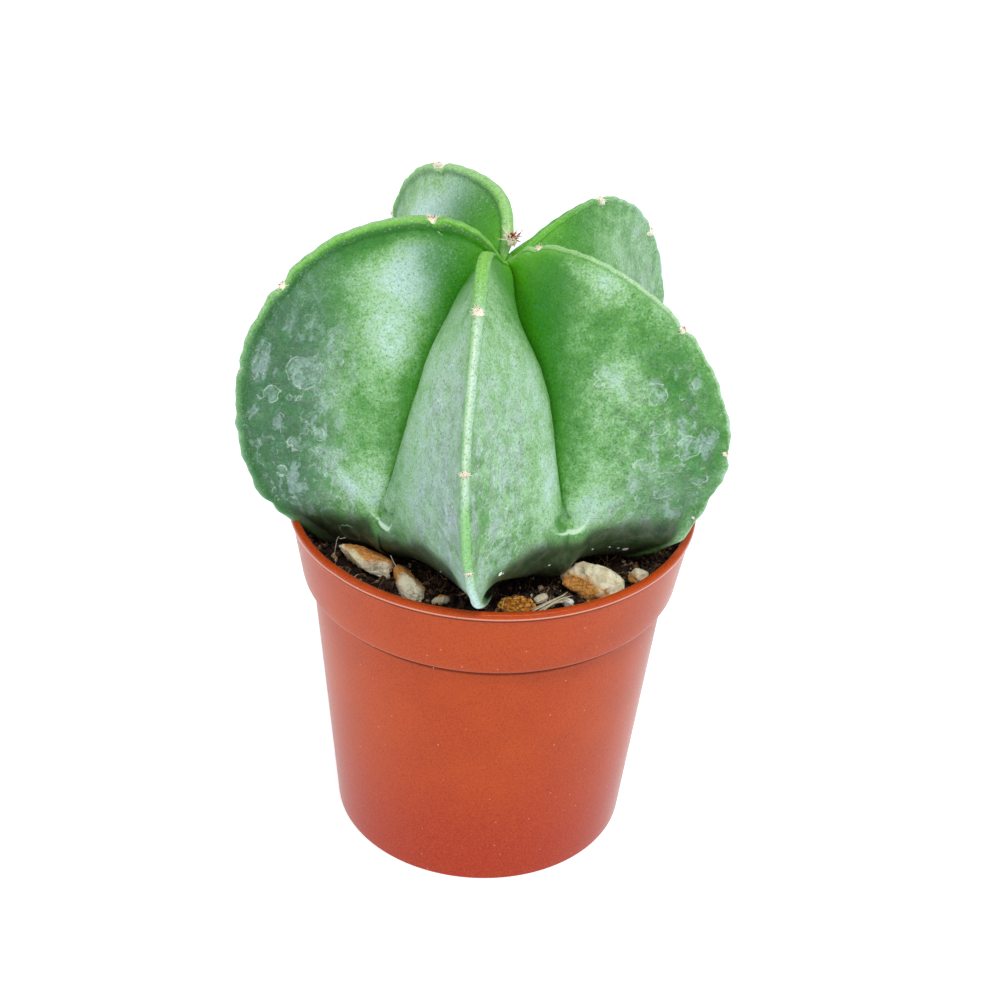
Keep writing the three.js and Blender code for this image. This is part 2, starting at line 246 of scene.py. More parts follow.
def piece(name, points, faces, slot, finish, stands_for=(), attributes={}):
    """A mesh piece in the row frame from points in millimetres, riding on the part."""
    thing = solid(name, points, faces)
    mesh = thing.data
    mesh.polygons.foreach_set("use_smooth", [True] * len(mesh.polygons))
    for label, values in attributes.items():
        mesh.attributes.new(label, "FLOAT", "POINT").data.foreach_set("value", np.asarray(values, float))
    mesh.materials.append(finish)
    mesh.update()
    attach(thing, "root")
    if stands_for:
        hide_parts(*stands_for)
    return thing


def turned(profile, sides):
    """Points and faces of a closed profile of (radius, height) turned about the upright axis."""
    points, rings = [], []
    for radius, height in profile:
        if radius < 1e-6:
            rings.append([len(points)] * sides)
            points.append((0, 0, height))
            continue
        rings.append(range(len(points), len(points) + sides))
        for i in range(sides):
            angle = 2 * math.pi * i / sides
            points.append((radius * math.cos(angle), radius * math.sin(angle), height))
    faces = []
    for low, high in zip(rings, rings[1:]):
        for i in range(sides):
            j = (i + 1) % sides
            face = [low[i], low[j], high[j], high[i]]
            faces.append([v for k, v in enumerate(face) if v != face[k - 1]])
    return points, [face for face in faces if len(face) > 2]


def rounded(corners, steps=5):
    """A profile whose corners (radius, height, fillet) are replaced by smooth arcs."""
    line = []
    for k, (x, y, fillet) in enumerate(corners):
        here = Vector((x, y))
        if fillet == 0 or k in (0, len(corners) - 1):
            line.append((x, y))
            continue
        before, after = (Vector(corners[k + d][:2]) - here for d in (-1, 1))
        start = here + before.normalized() * min(fillet, before.length * 0.48)
        end = here + after.normalized() * min(fillet, after.length * 0.48)
        for i in range(steps + 1):
            t = i / steps
            line.append(tuple(start * (1 - t) ** 2 + here * 2 * t * (1 - t) + end * t**2))
    return line


def pot_mesh():
    ring_inside = FOOT_RADIUS - 2.4
    profile = rounded(
        [
            (0, 0, 0), (PAD_RADIUS, 0, 0.2), (PAD_RADIUS + 0.4, 0.6, 0.2), (ring_inside, 0.6, 0.2),
            (ring_inside + 0.4, 0, 0.15), (FOOT_RADIUS + 0.05, 0, 0.3), (BODY_TOP_RADIUS, BAND_FOOT, 0.35),
            (BODY_TOP_RADIUS + 1.25, BAND_FOOT + 0.2, 0.7), (RIM_RADIUS - 0.35, POT_HEIGHT - 1.15, 0.2),
            (RIM_RADIUS, POT_HEIGHT - 0.95, 0.3), (RIM_RADIUS, POT_HEIGHT, 0.55),
            (RIM_RADIUS - 1.05, POT_HEIGHT, 0.5), (RIM_RADIUS - 1.1, POT_HEIGHT - 0.9, 0.3),
            (BODY_TOP_RADIUS + 0.4, BAND_FOOT + 1.1, 0.5), (BODY_TOP_RADIUS - WALL, BAND_FOOT - 0.2, 0.5),
            (FOOT_RADIUS - WALL, FLOOR, 1.2), (0, FLOOR, 0),
        ]
    )
    tall = []  # long straight runs are cut into short ones, so that the wall can be uneven
    for (r0, z0), (r1, z1) in zip(profile, profile[1:]):
        cuts = max(1, round(abs(z1 - z0) / 1.6))
        tall += [(r0 + (r1 - r0) * k / cuts, z0 + (z1 - z0) * k / cuts) for k in range(cuts)]
    points, faces = turned([*tall, profile[-1]], 192)
    for k, (x, y, z) in enumerate(points):
        angle = math.atan2(y, x)
        warp = 1 + 0.0022 * math.sin(2 * angle + 0.6) * z / POT_HEIGHT  # the thin wall is never quite round
        flash = 0.07 * math.exp(-(((angle + 2.36) / 0.05) ** 2)) if z > POT_HEIGHT - 0.8 else 0
        points[k] = (x * (warp - flash / RIM_RADIUS), y * (warp - flash / RIM_RADIUS), z)
    return points, faces


plastic = Finish("pot_plastic", IOR=1.28, Sheen_Weight=0.34, Sheen_Roughness=0.26)
clouds = plastic.at.noise(0.09, 3, 0.6)
pores = plastic.at.noise(4.5, 3, 0.7)
grit = plastic.at.cells(1.1)
grit_size = plastic.at.cells(1.1, out=1)
chosen = grit_size.node("SeparateColor", {}, {"Color": grit_size})
specks = grit.step(0.12, 0.05) * chosen.step(0.86, 0.88)
pips = grit.step(0.14, 0.06) * chosen.step(0.07, 0.05)
scuffs = (plastic.at * (1, 1, 0.25)).noise(0.9, 6, 0.7, 0.6).step(0.62, 0.8)
rise_up = plastic.height()
# painted shade: dark lines in the crease under the collar and under the lip
shade_under_band = rise_up.step(38.2, 38.7) * rise_up.step(39.95, 39.6)
shade_under_lip = rise_up.step(48.8, 49.15) * rise_up.step(49.42, 49.3)
# a pale line on the lip's outer edge: edge wear and painted highlight
lip_wear_and_highlight = rise_up.step(49.42, 49.5) * rise_up.step(49.72, 49.62)
colour = laid(
    clouds.step(0.3, 0.7).blend("a93508", "b53e08"),
    # painted shade: the pot is darker red towards the bottom
    (rise_up.step(26, 2), "a01800"),
    (pores.step(0.3, 0.75) * 0.6, "c65414"),
    (pores.step(0.47, 0.32) * 0.5, "8a2a0c"),
    (scuffs * 0.14, "dc9878"),
    # painted highlight and edge wear along the lip
    (lip_wear_and_highlight * 0.6, "f0b49c"),
    # painted shade in the creases under the collar and the lip
    ((shade_under_band * 0.8 + shade_under_lip).least(1.0) * 0.85, "360800"),
    (specks * 0.6, "f0c8ae"),
    (pips * 0.6, "3c1208"),
)
skin_grain = plastic.bumps(pores * 0.7 + plastic.at.noise(1.3, 4) * 0.5, 0.03)
shine = 0.3 + pores * 0.16 + scuffs * 0.14 + specks * 0.1 - rise_up.step(49.3, 49.5) * 0.22
shine = (shade_under_band + shade_under_lip) * 0.5 + shine
terracotta = plastic.feed(Base_Color=colour, Roughness=shine, Normal=skin_grain)

pot = piece("nursery_pot", *pot_mesh(), "pot_plastic", terracotta, ["pot"])
drill_points, drill_faces = [], []
for hole in range(DRAINS):
    angle = hole * 2 * math.pi / DRAINS
    bore, sides = turned([(0, -2), (DRAIN_RADIUS, -2), (DRAIN_RADIUS, 4), (0, 4)], 24)
    drill_faces += [[v + len(drill_points) for v in face] for face in sides]
    across, back = DRAIN_CIRCLE * math.cos(angle), DRAIN_CIRCLE * math.sin(angle)
    drill_points += [(x + across, y + back, z) for x, y, z in bore]
drill = solid("drain_drill", drill_points, drill_faces)
cut = pot.modifiers.new("drains", "BOOLEAN")
cut.operation, cut.solver, cut.object = "DIFFERENCE", "EXACT", drill
bpy.context.view_layer.update()
drained = bpy.data.meshes.new_from_object(pot.evaluated_get(bpy.context.evaluated_depsgraph_get()))
pot.modifiers.clear()
pot.data = drained
bpy.data.objects.remove(drill)

# ---- potting mix ----
# Dark peat with bark fibre, filled to just under the lip and settled round the plant. Its top is broken up
# into crumbs and short fibres, with a little pale grit.
SOIL_LEVEL = 46.4
MIX_RADIUS = 25.75
CRUMBS = 7000
FIBRES = 900


def wander(x, y, z, size):
    """Smooth noise of about -1 to 1 whose lumps are size millimetres across."""
    return noise.noise(Vector((x, y, z)) / size)


def soil_height(x, y):
    swell = math.sin(0.9 * x + 0.4) * math.cos(0.8 * y) + 0.7 * math.sin(1.7 * y + 0.6 * x)
    rubble = 0.6 * wander(x, y, 3, 2.6) + 0.5 * wander(x, y, 9, 1.1) + 0.3 * wander(x, y, 5, 0.5)
    return SOIL_LEVEL + 0.35 * swell + rubble


class Heap:
    """Forms gathered into one mesh, each with a tint from 0 to 1."""

    def __init__(self):
        self.points, self.faces, self.tints = [], [], []

    def add(self, points, faces, shade):
        start = len(self.points)
        self.points += [tuple(point) for point in points]
        self.faces += [[v + start for v in face] for face in faces]
        self.tints += [shade] * len(points) if isinstance(shade, float) else list(shade)

    def piece(self, name, slot, finish, stands_for=()):
        piece(name, self.points, self.faces, slot, finish, stands_for, {"tint": self.tints})


@functools.cache
def ball(level):
    """Points and faces of a unit ball of triangles."""
    bpy.ops.mesh.primitive_ico_sphere_add(subdivisions=level, radius=1)
    form = bpy.context.object
    points = np.array([v.co[:] for v in form.data.vertices])
    faces = [list(face.vertices) for face in form.data.polygons]
    bpy.data.objects.remove(form)
    return points, faces


def turn_about(yaw, tilt=0.0):
    """A 3 by 3 turn from degrees: the tilt first, then the yaw about the upright axis."""
    return np.array(Matrix.Rotation(math.radians(yaw), 3, "Z") @ Matrix.Rotation(math.radians(tilt), 3, "Y"))


def unit(rows):
    """Each row of vectors made one unit long."""
    return rows / np.linalg.norm(rows, axis=-1, keepdims=True)


def broken_lump(rng, level, half, cuts, rough):
    """A lump with flat broken faces: a ball cut by random planes, then roughened and stretched."""
    points, faces = ball(level)
    planes = unit(rng.normal(size=(cuts, 3)))
    depth = rng.uniform(0.62, 0.95, cuts)
    facing = np.maximum(points @ planes.T, 0)
    radius = (1 + np.sum((facing / depth) ** 16, axis=1)) ** (-1 / 16)
    if rough:
        start = rng.uniform(0, 50)
        spots = points * np.array(half) / np.mean(half) + start
        for size, share in ((0.5, 1.0), (0.18, 0.5), (0.07, 0.3) if level > 3 else (0.18, 0.1)):
            radius += rough * share * np.array([wander(*spot, size) for spot in spots])
    return points * radius[:, None] * np.array(half), faces


def tube_faces(rings, sides):
    """The faces between closed rings of points that follow one another."""
    faces = []
    for ring in range(rings - 1):
        for k in range(sides):
            a, b = ring * sides + k, ring * sides + (k + 1) % sides
            faces.append([a, a + sides, b + sides, b])
    return faces


def strand(path, radii, sides=4):
    """A tapering fibre along a path, closed at both ends."""
    path = np.asarray(path, float)
    along = unit(np.gradient(path, axis=0))
    aside = unit(np.cross(along, (0.31, 0.17, 0.93)))
    upward = np.cross(along, aside)
    points = []
    for centre, radius, a, b in zip(path, radii, aside, upward):
        for k in range(sides):
            angle = 2 * math.pi * k / sides
            points.append(centre + radius * (math.cos(angle) * a + math.sin(angle) * b))
    last = (len(path) - 1) * sides
    ends = [list(range(sides)), [last + k for k in reversed(range(sides))]]
    return points, tube_faces(len(path), sides) + ends


peat = Finish("potting_mix", IOR=1.45)
dark = peat.reads("tint")
blotch = peat.at.noise(0.9, 4, 0.6)
dust = peat.at.noise(3.4, 4, 0.75)
colour = (dark * 0.8 + (blotch - 0.5) * 0.5 + (dust - 0.5) * 0.8 + 0.08).ramp(
    (0, "0c0604"), (0.28, "25150b"), (0.5, "523220"), (0.68, "84603e"), (0.84, "b8966a"), (1, "efe2c4")
)
damp = peat.at.noise(0.6, 3).step(0.4, 0.62)
peat_bump = peat.bumps(dust * 0.6 + peat.at.noise(7.0, 3, 0.7) * 0.4, 0.3)
mix_finish = peat.feed(Base_Color=colour, Roughness=0.88 - damp * 0.35 + dust * 0.1, Normal=peat_bump)

rings, spokes = 110, 256
inner_wall = [(25.4, SOIL_LEVEL - 1.6), (24.6, BAND_FOOT + 1.1), (23.4, BAND_FOOT - 0.3)]
inner_wall += [(19.45, FLOOR + 1.3), (18.6, FLOOR + 0.05), (0, FLOOR + 0.05)]
top = [(MIX_RADIUS * (k / rings) ** 0.8, SOIL_LEVEL) for k in range(rings + 1)]
points, faces = turned([*top, *inner_wall], spokes)
points = [(x, y, soil_height(x, y)) if z == SOIL_LEVEL else (x, y, z) for x, y, z in points]
lift = [max(0.0, min(1.0, 0.2 + 0.25 * wander(x, y, z, 1.5))) for x, y, z in points]
faces = [face[::-1] for face in faces]
piece("potting_mix_plug", points, faces, "potting_mix", mix_finish, ["potting_mix"], {"tint": lift})

rng = np.random.default_rng(41)
crumbs = Heap()
for _ in range(CRUMBS):
    radius = 0.1 + 0.42 * rng.random() ** 3
    away, angle = MIX_RADIUS * rng.uniform(0.3, 1) ** 0.5 - radius, rng.uniform(0, 2 * math.pi)
    x, y = away * math.cos(angle), away * math.sin(angle)
    form, faces = broken_lump(rng, 1, radius * rng.uniform(0.5, 1.4, 3), 5, 0.0)
    form = form @ turn_about(rng.uniform(0, 360), rng.uniform(-40, 40)).T
    shade = float(rng.choice([0.02, 0.25, 0.45, 0.65, 1.0], p=[0.26, 0.26, 0.26, 0.16, 0.06]))
    crumbs.add(form + (x, y, soil_height(x, y) + radius * rng.uniform(0.2, 1.0)), faces, shade)
for _ in range(FIBRES):
    length, angle = rng.uniform(0.7, 3.4), rng.uniform(0, 2 * math.pi)
    away, heading = 24.6 * rng.uniform(0.4, 1) ** 0.5, rng.uniform(0, 2 * math.pi)
    share = np.linspace(-0.5, 0.5, 6)
    x = away * math.cos(angle) + length * share * math.cos(heading)
    y = away * math.sin(angle) + length * share * math.sin(heading) + 0.5 * np.sin(4 * share + angle)
    if max(np.hypot(x, y)) > MIX_RADIUS - 0.15:
        continue
    z = [soil_height(*spot) + rng.uniform(0.1, 0.5) for spot in zip(x, y)]
    thick = rng.uniform(0.035, 0.12)
    crumbs.add(*strand(np.c_[x, y, z], thick * (1 - abs(share))), float(rng.uniform(0.35, 0.95)))
crumbs.piece("potting_mix_crumbs", "potting_mix", mix_finish)

# ---- roots ----
# The woody root stock and its branches, out of sight in the mix. The plain shape is right as it stands and
# gets the fibrous brown bark of a cactus root.
bark = Finish("root_bark", Roughness=0.85)
fibres = (bark.at * (1, 1, 0.15)).noise(2.2, 5, 0.65, 0.8)
colour = fibres.step(0.3, 0.7).blend("6d4a2a", "b08a5c")
colour = bark.at.noise(0.5, 3).step(0.5, 0.7).blend(colour, "54371e")
root_finish = bark.feed(Base_Color=colour, Roughness=0.7 + fibres * 0.25, Normal=bark.bumps(fibres, 0.2))
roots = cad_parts["root_system"]
roots.data.materials.clear()
roots.data.materials.append(root_finish)

# ---- cactus body ----
# Five broad thin-edged ribs, 72 degrees apart and grown as one piece, that meet in tight furrows and turn in
# under at the soil. Each crest is a rounded cord, dented at the areoles, and the flanks have a waxy bloom.
RIB_STEP = 72
FRONT_RIB_AZIMUTH = -96.4
CORD = (0.95, 0.6)  # half width of the crest's cord at the crown and further out
RIB_WEB = 1.7
CREST = [
    (1.0, 86.8), (4.0, 89.8), (8.5, 91.6), (14.5, 91.7), (20.8, 89.4),
    (26.6, 84.8), (31.0, 78.4), (33.6, 71.0), (34.0, 63.5), (32.2, 57.0),
    (28.8, 52.5), (23.6, 49.3), (18.0, 47.2), (11.0, 44.8), (5.5, 42.0),
]
FOLD = [
    (1.0, 86.2), (4.4, 86.0), (8.6, 84.8), (12.4, 82.6), (15.6, 79.4),
    (17.8, 75.4), (19.2, 71.0), (20.2, 66.4), (21.0, 61.8), (21.2, 57.6),
    (20.4, 54.2), (18.8, 51.0), (15.2, 48.0), (10.0, 44.8), (5.4, 42.0),
]
FURROW = [
    (0.8, 85.8), (1.8, 84.6), (3.8, 82.6), (6.6, 79.8), (9.4, 76.6),
    (11.8, 73.0), (13.8, 69.0), (15.6, 64.8), (17.4, 60.8), (19.2, 57.2),
    (19.6, 54.2), (18.6, 51.0), (15.2, 48.0), (10.0, 44.8), (5.4, 42.0),
]
LAST = len(CREST) - 1
FURROW_DRIFT = [0, 1, -1, 1, -4]  # degrees that the furrow after each rib is turned from halfway
RIBS = [
    # name, reach, cord's share, areoles along the crest, bends: (crest point, width, out, up, across)
    ("front", 1.0, 0.76, [4.0, 6.6, 8.5],
     [(1, 0.85, 0, -2.1, 0.4), (2.2, 1.8, 0, 0, -1.2), (10.5, 3, 0, 0, 2.2), (11.3, 1, 0.45, -0.2, 0)]),
    ("right", 0.955, 0.32, [1.2, 4.9, 7.5, 9.2],
     [(3.6, 2.6, 0, -3, 0), (8.8, 0.8, -0.9, 0.2, 0), (9.5, 1.6, -0.5, -0.2, 0), (10.5, 3, 0, 0, 0.6),
      (11, 1.1, 0, -1.1, 0)]),
    ("right_rear", 0.97, 0.45, [3.5, 5.6, 7.6, 9.2], [(1.8, 2.6, 0, -3.1, -0.6), (4.4, 2, 0.5, 0.4, 0)]),
    ("left_rear", 1.01, 0.6, [3.6, 6, 7.8, 9.3], [(1.6, 1.6, 0, 0.8, -2.8), (4.2, 1.8, 0, 0.8, 1)]),
    ("left", 1.005, 0.95, [2.15, 5.2, 6.85, 7.6, 9.6],
     [(1, 2.6, 0, 0.5, 0), (4.3, 1.1, 0.8, 0.4, 0), (6.1, 0.9, 0.7, 0, 0), (9.5, 1.6, 0, -0.9, 0),
      (10.3, 0.5, -0.9, 0, 0), (10.5, 3, 0, 0, 2.4), (11, 1.1, 0.1, -1.4, 0)]),
]
GROWING_POINT = (1.0, 0.8, 87)


def bell(x, centre, width):
    """1 at the centre and 0 away from it."""
    return np.exp(-(((x - centre) / width) ** 2))


def rise(x, low, high):
    """0 below low, 1 above high and smooth between; the other way round if low is above high."""
    share = np.clip((x - low) / (high - low), 0, 1)
    return share * share * (3 - 2 * share)


def along_curve(points, place):
    """A point of a smooth line through points, at each place counted in points."""
    points = np.asarray(points, float)
    index = np.minimum(place.astype(int), len(points) - 1)
    w = (place - index)[..., None]
    before, here, after, beyond = (points[np.clip(index + k, 0, len(points) - 1)] for k in (-1, 0, 1, 2))
    v0, v1 = (after - before) / 2, (beyond - here) / 2
    gap = after - here
    return (v0 + v1 - 2 * gap) * w**3 + (3 * gap - 2 * v0 - v1) * w**2 + v0 * w + here


def crest_line(rib, place):
    """Distance out along the rib, shift across it and height of the crest at each place."""
    _, reach, _, _, bends = rib
    line = along_curve(CREST, place)
    free = np.minimum(1, (LAST - place) / 3)
    out, height, shift = line[..., 0] * (1 + (reach - 1) * free), line[..., 1], np.zeros_like(place)
    for centre, width, outward, upward, across in bends:
        share = bell(place, centre, width)
        out, height, shift = out + outward * share, height + upward * share, shift + across * share
    return out, shift, height


def swung(line, angle):
    """A line of (distance out, height) turned about the upright axis."""
    return np.stack([line[:, 0] * np.cos(angle), line[:, 0] * np.sin(angle), line[:, 1]], 1)


def flank(turn, side, place, across):
    """The points of one flank in the rib's own axes, and their distances from the crest and the furrow."""
    rib = RIBS[turn]
    out, shift, height = crest_line(rib, place)
    fold, furrow = along_curve(FOLD, place), along_curve(FURROW, place)
    after = turn if side > 0 else (turn - 1) % len(RIBS)
    drift = FURROW_DRIFT[after] - 13 * bell(place, 2.3, 1.5) * (after == 0)
    angle = np.radians(side * RIB_STEP / 2 + drift)
    inner = swung(furrow, angle)
    reach = out - inner[:, 0]
    depth = np.hypot(reach, height - furrow[:, 1])
    web = np.minimum(RIB_WEB, 0.2 * depth) * (1 - 0.4 * (turn == 0) * rise(place, 5, 2))
    drop = 0.34 * (furrow[:, 1] - height)
    near = np.stack([out - 0.42 * reach, side * web + 0.6 * shift, height + drop], 1)
    far = swung(fold, 0.97 * angle)
    outer = np.stack([out, shift, height], 1)
    t = across[None, :, None]
    k = 1 - t
    shares = (k**3, 3 * k**2 * t, 3 * k * t**2, t**3)
    points = sum(share * bend[:, None] for share, bend in zip(shares, (outer, near, far, inner)))
    cord = rib[2] * (CORD[0] + (CORD[1] - CORD[0]) * rise(place, 2, 7)) + 0.6 * rise(place, 9.5, 12.5)
    cord = cord * (1 - 0.25 * (turn == 0) * bell(place, 1, 1.2))
    cord = np.minimum(cord, 0.3 * depth)[:, None]
    inward = across[None, :] * depth[:, None] * 1.26 / cord
    tip = np.sqrt(np.maximum(0, 1 - (1 - np.minimum(inward, 1)) ** 2))
    neck = 0.5 + 0.5 * np.cos(np.pi * np.clip((inward - 1) / 2.2, 0, 1))
    points[:, :, 1] += side * cord * np.where(inward < 1, tip, neck)
    gaps = np.linalg.norm(np.diff(points, axis=1), axis=2)
    from_crest = np.concatenate([np.zeros((len(place), 1)), np.cumsum(gaps, axis=1)], axis=1)
    return points, from_crest, from_crest[:, -1:] - from_crest


def world_turn(turn):
    return turn_about(FRONT_RIB_AZIMUTH + RIB_STEP * turn).T


def body_mesh():
    """The whole skin: for each rib, one flank in from the furrow to the crest and the other back out."""
    place = np.linspace(0, LAST, 177)
    tip = 0.032 * (1 - np.cos(np.linspace(0, math.pi / 2, 7)))
    across = np.concatenate([tip, np.linspace(0.04, 0.13, 8), np.linspace(0.155, 1, 38)])
    strips = []
    for turn, rib in enumerate(RIBS):
        out, shift, height = crest_line(rib, place)
        slope = unit(np.gradient(np.stack([out, height], 1), axis=0))
        outward = np.stack([-slope[:, 1], np.zeros_like(out), slope[:, 0]], 1)
        length = np.concatenate([[0], np.cumsum(np.hypot(np.diff(out), np.diff(height)))])
        dents = 0.1 * np.sin(1.1 * length + 2 * turn) * rise(length, 14, 30)
        dents += 0.06 * np.sin(2.7 * length + turn)
        for number, areole in enumerate(rib[3]):
            spot = np.interp(areole, place, length)
            dents += 0.25 * bell(length, spot, 2.6)
            dents -= (0.8 - 0.35 * rise(areole, 4, 7)) * bell(length, spot, 0.8 + 0.3 * rise(areole, 4, 5))
            if (turn, number) == (3, 0):
                dents -= 1.5 * bell(length, spot - 1.2, 0.45)
        dents *= rise(place, LAST - 2, LAST - 4) * (1 - 0.6 * (turn == 1) * rise(place, 8, 9))
        for side in (-1, 1):
            points, from_crest, from_furrow = flank(turn, side, place, across)
            points += outward[:, None] * (dents[:, None] * bell(from_crest, 0, 1.5))[..., None]
            order = range(len(across) - 1, 0, -1) if side < 0 else range(len(across) - 1)
            for k in order:
                strip = {"point": points[:, k] @ world_turn(turn), "crest": from_crest[:, k]}
                strip.update({"furrow": from_furrow[:, k], "place": place})
                strip.update({"rib": np.full(len(place), turn), "side": np.full(len(place), side)})
                strips.append(strip)
    around = len(strips)
    facts = {key: np.stack([strip[key] for strip in strips], 1) for key in strips[0]}
    grid = facts.pop("point").reshape(-1, 3)
    facts = {key: values.reshape(-1) for key, values in facts.items()}
    faces = tube_faces(len(place), around)
    crown, sole = len(grid), len(grid) + 1
    grid = np.vstack([grid, (0, 0, FURROW[0][1] - 0.3), (0, 0, CREST[-1][1] - 0.3)])
    facts = {key: np.append(values, [values[0], values[-1]]) for key, values in facts.items()}
    last = (len(place) - 1) * around
    for i in range(around):
        j = (i + 1) % around
        faces += [[crown, i, j], [sole, last + j, last + i]]
    return grid, faces, facts


skin_points, skin_faces, facts = body_mesh()
bare = bpy.data.meshes.new("bare_skin")
bare.from_pydata(skin_points.tolist(), [], skin_faces)
bare.update()
normals = np.zeros(len(skin_points) * 3)
bare.vertices.foreach_get("normal", normals)
normals = normals.reshape(-1, 3)
bpy.data.meshes.remove(bare)

rib, side, place, crest, furrow = (facts[key] for key in ("rib", "side", "place", "crest", "furrow"))
on_front, on_right, on_right_rear, on_left_rear, on_left = (rib == turn for turn in range(len(RIBS)))
front_left, front_right = on_front & (side < 0), on_front & (side > 0)
left_inner, right_inner = on_left & (side > 0), on_right & (side < 0)
crown = np.linalg.norm(skin_points - GROWING_POINT, axis=1)


def patches(flanks):
    """Soft patches added up. On each rib and side, their strength, crest point, width along the crest,
    distance from the furrow and breadth."""
    tone = np.zeros(len(place))
    for (turn, on_side), rows in flanks.items():
        for strength, centre, wide, deep, broad in rows:
            spot = bell(place, centre, wide) * bell(furrow, deep, broad)
            tone += strength * (rib == turn) * (side == on_side) * spot
    return tone


# the flanks swell slowly, the right rib's are wavy low down, the front rib's foot has a hollow on its right
# and a swelling on its left, and the left rib's underside and the ends of the furrows are full
free = rise(furrow, 0.3, 3) * rise(crest, 0.6, 3)
push = free * [0.34 * wander(*p, 9) + 0.14 * wander(*p, 3.4) + 0.05 * wander(*p, 1.3) for p in skin_points]
wavy = on_right * rise(place, 6.0, 7.5) * rise(place, 11, 10) * np.exp(-crest / 8)
push += 0.6 * side * wavy * np.sin(2.9 * place + 0.8) * rise(crest, 0.2, 2.4)
push += 0.18 * wavy * np.sin(6.5 * place) * np.exp(-crest / 3)
push -= 1.5 * front_right * bell(place, 11.2, 1.1) * bell(crest, 4.2, 2.4)
push += 0.3 * front_left * bell(place, 11.0, 1.2) * bell(crest, 4.5, 2.4)
push += 1.4 * left_inner * bell(place, 11.4, 1.3) * bell(furrow, 6, 5)
push += 1.2 * bell(furrow, 0, 2.2) * rise(place, 9.8, 11) * rise(place, 14, 12.5)

# where a furrow ends low on the body, its skin is pinched into a pocket over a raised lip shaped like a smile
PUCKERS = [
    # furrow after this rib, radius, offset, height, left and right arm of the lip
    (0, 21.0, 0.7, 56.6, (3.3, 0.10), (2.4, 0.36)),
    (1, 19.6, 0, 54.6, (2.4, 0.2), (2.6, 0.2)),
    (2, 19.8, 0.4, 54.2, (2.6, 0.15), (2.4, 0.25)),
    (3, 19.5, -0.3, 55.0, (2.2, 0.3), (2.6, 0.2)),
    (4, 18.2, 1.9, 54.4, (3.3, 0.14), (1.0, 1.4)),
]
lip_gap, lip_share = np.full(len(skin_points), 9.0), np.full(len(skin_points), 9.0)
for turn, radius, offset, level, left_arm, right_arm in PUCKERS:
    azimuth = math.radians(FRONT_RIB_AZIMUTH + RIB_STEP * (turn + 0.5) + FURROW_DRIFT[turn])
    radial = np.array([math.cos(azimuth), math.sin(azimuth), 0])
    away = skin_points - (radial * radius + (0, 0, level))
    aside, upward = away @ (-radial[1], radial[0], 0) - offset, away[:, 2]
    reach = np.where(aside < 0, left_arm[0], right_arm[0])
    curve = np.where(aside < 0, left_arm[1], right_arm[1])
    over = (upward - curve * aside**2) / np.sqrt(1 + (2 * curve * aside) ** 2)
    share = np.where(away @ radial > -9, np.abs(aside) / reach, 9)
    near = rise(away @ radial, -9, -6) * rise(share, 1.1, 0.55)
    push += near * (0.4 * bell(over, -0.1, 0.55) - 0.8 * bell(over, 1.2, 0.9) + 0.4 * bell(over, -1.6, 1.6))
    lip_gap = np.where(share < lip_share, over, lip_gap)
    lip_share = np.minimum(share, lip_share)
skin_points = skin_points + normals * push[:, None]

# how much of each tone or mark the skin has at each point. First the greens: of the furrows, with painted
# shade in their creases, of young skin at the crown, and painted yellow-green highlights
gutter = bell(furrow, 0, 3.4 - 2.6 * rise(place, 3, 8.5)) * (1 - 0.85 * rise(place, 7.4, 9))
crease = bell(furrow, 0, 0.35) * (1 - 0.8 * rise(place, 6, 8)) * rise(place, 10.4, 9.6)
right_edge = right_inner * bell(crest, 2.2, 1.7) * bell(place, 2.9, 1.1)
young = rise(crown, 22, 5) - 0.6 * right_edge
young += patches({
    (1, -1): [(0.8, 1.5, 2.0, 3, 8), (-0.6, 3.1, 0.8, 13, 4), (-0.25, 3.6, 0.7, 8, 3)],
    (4, 1): [(0.35, 1.0, 2, 4, 8)],
})
glow = rise(crown, 10, 2) + bell(crest, 0, 1.6) * rise(crown, 24, 8) * ~on_front
glow += patches({(1, -1): [(0.9, 2.5, 1.2, 1.2, 2.0)], (2, -1): [(0.5, 2.2, 1.2, 9, 3)]})
glow += 0.75 * on_left * bell(crest, 0.95, 0.5) * rise(place, 6, 4) + 0.35 * on_front * bell(place, 1.5, 2)
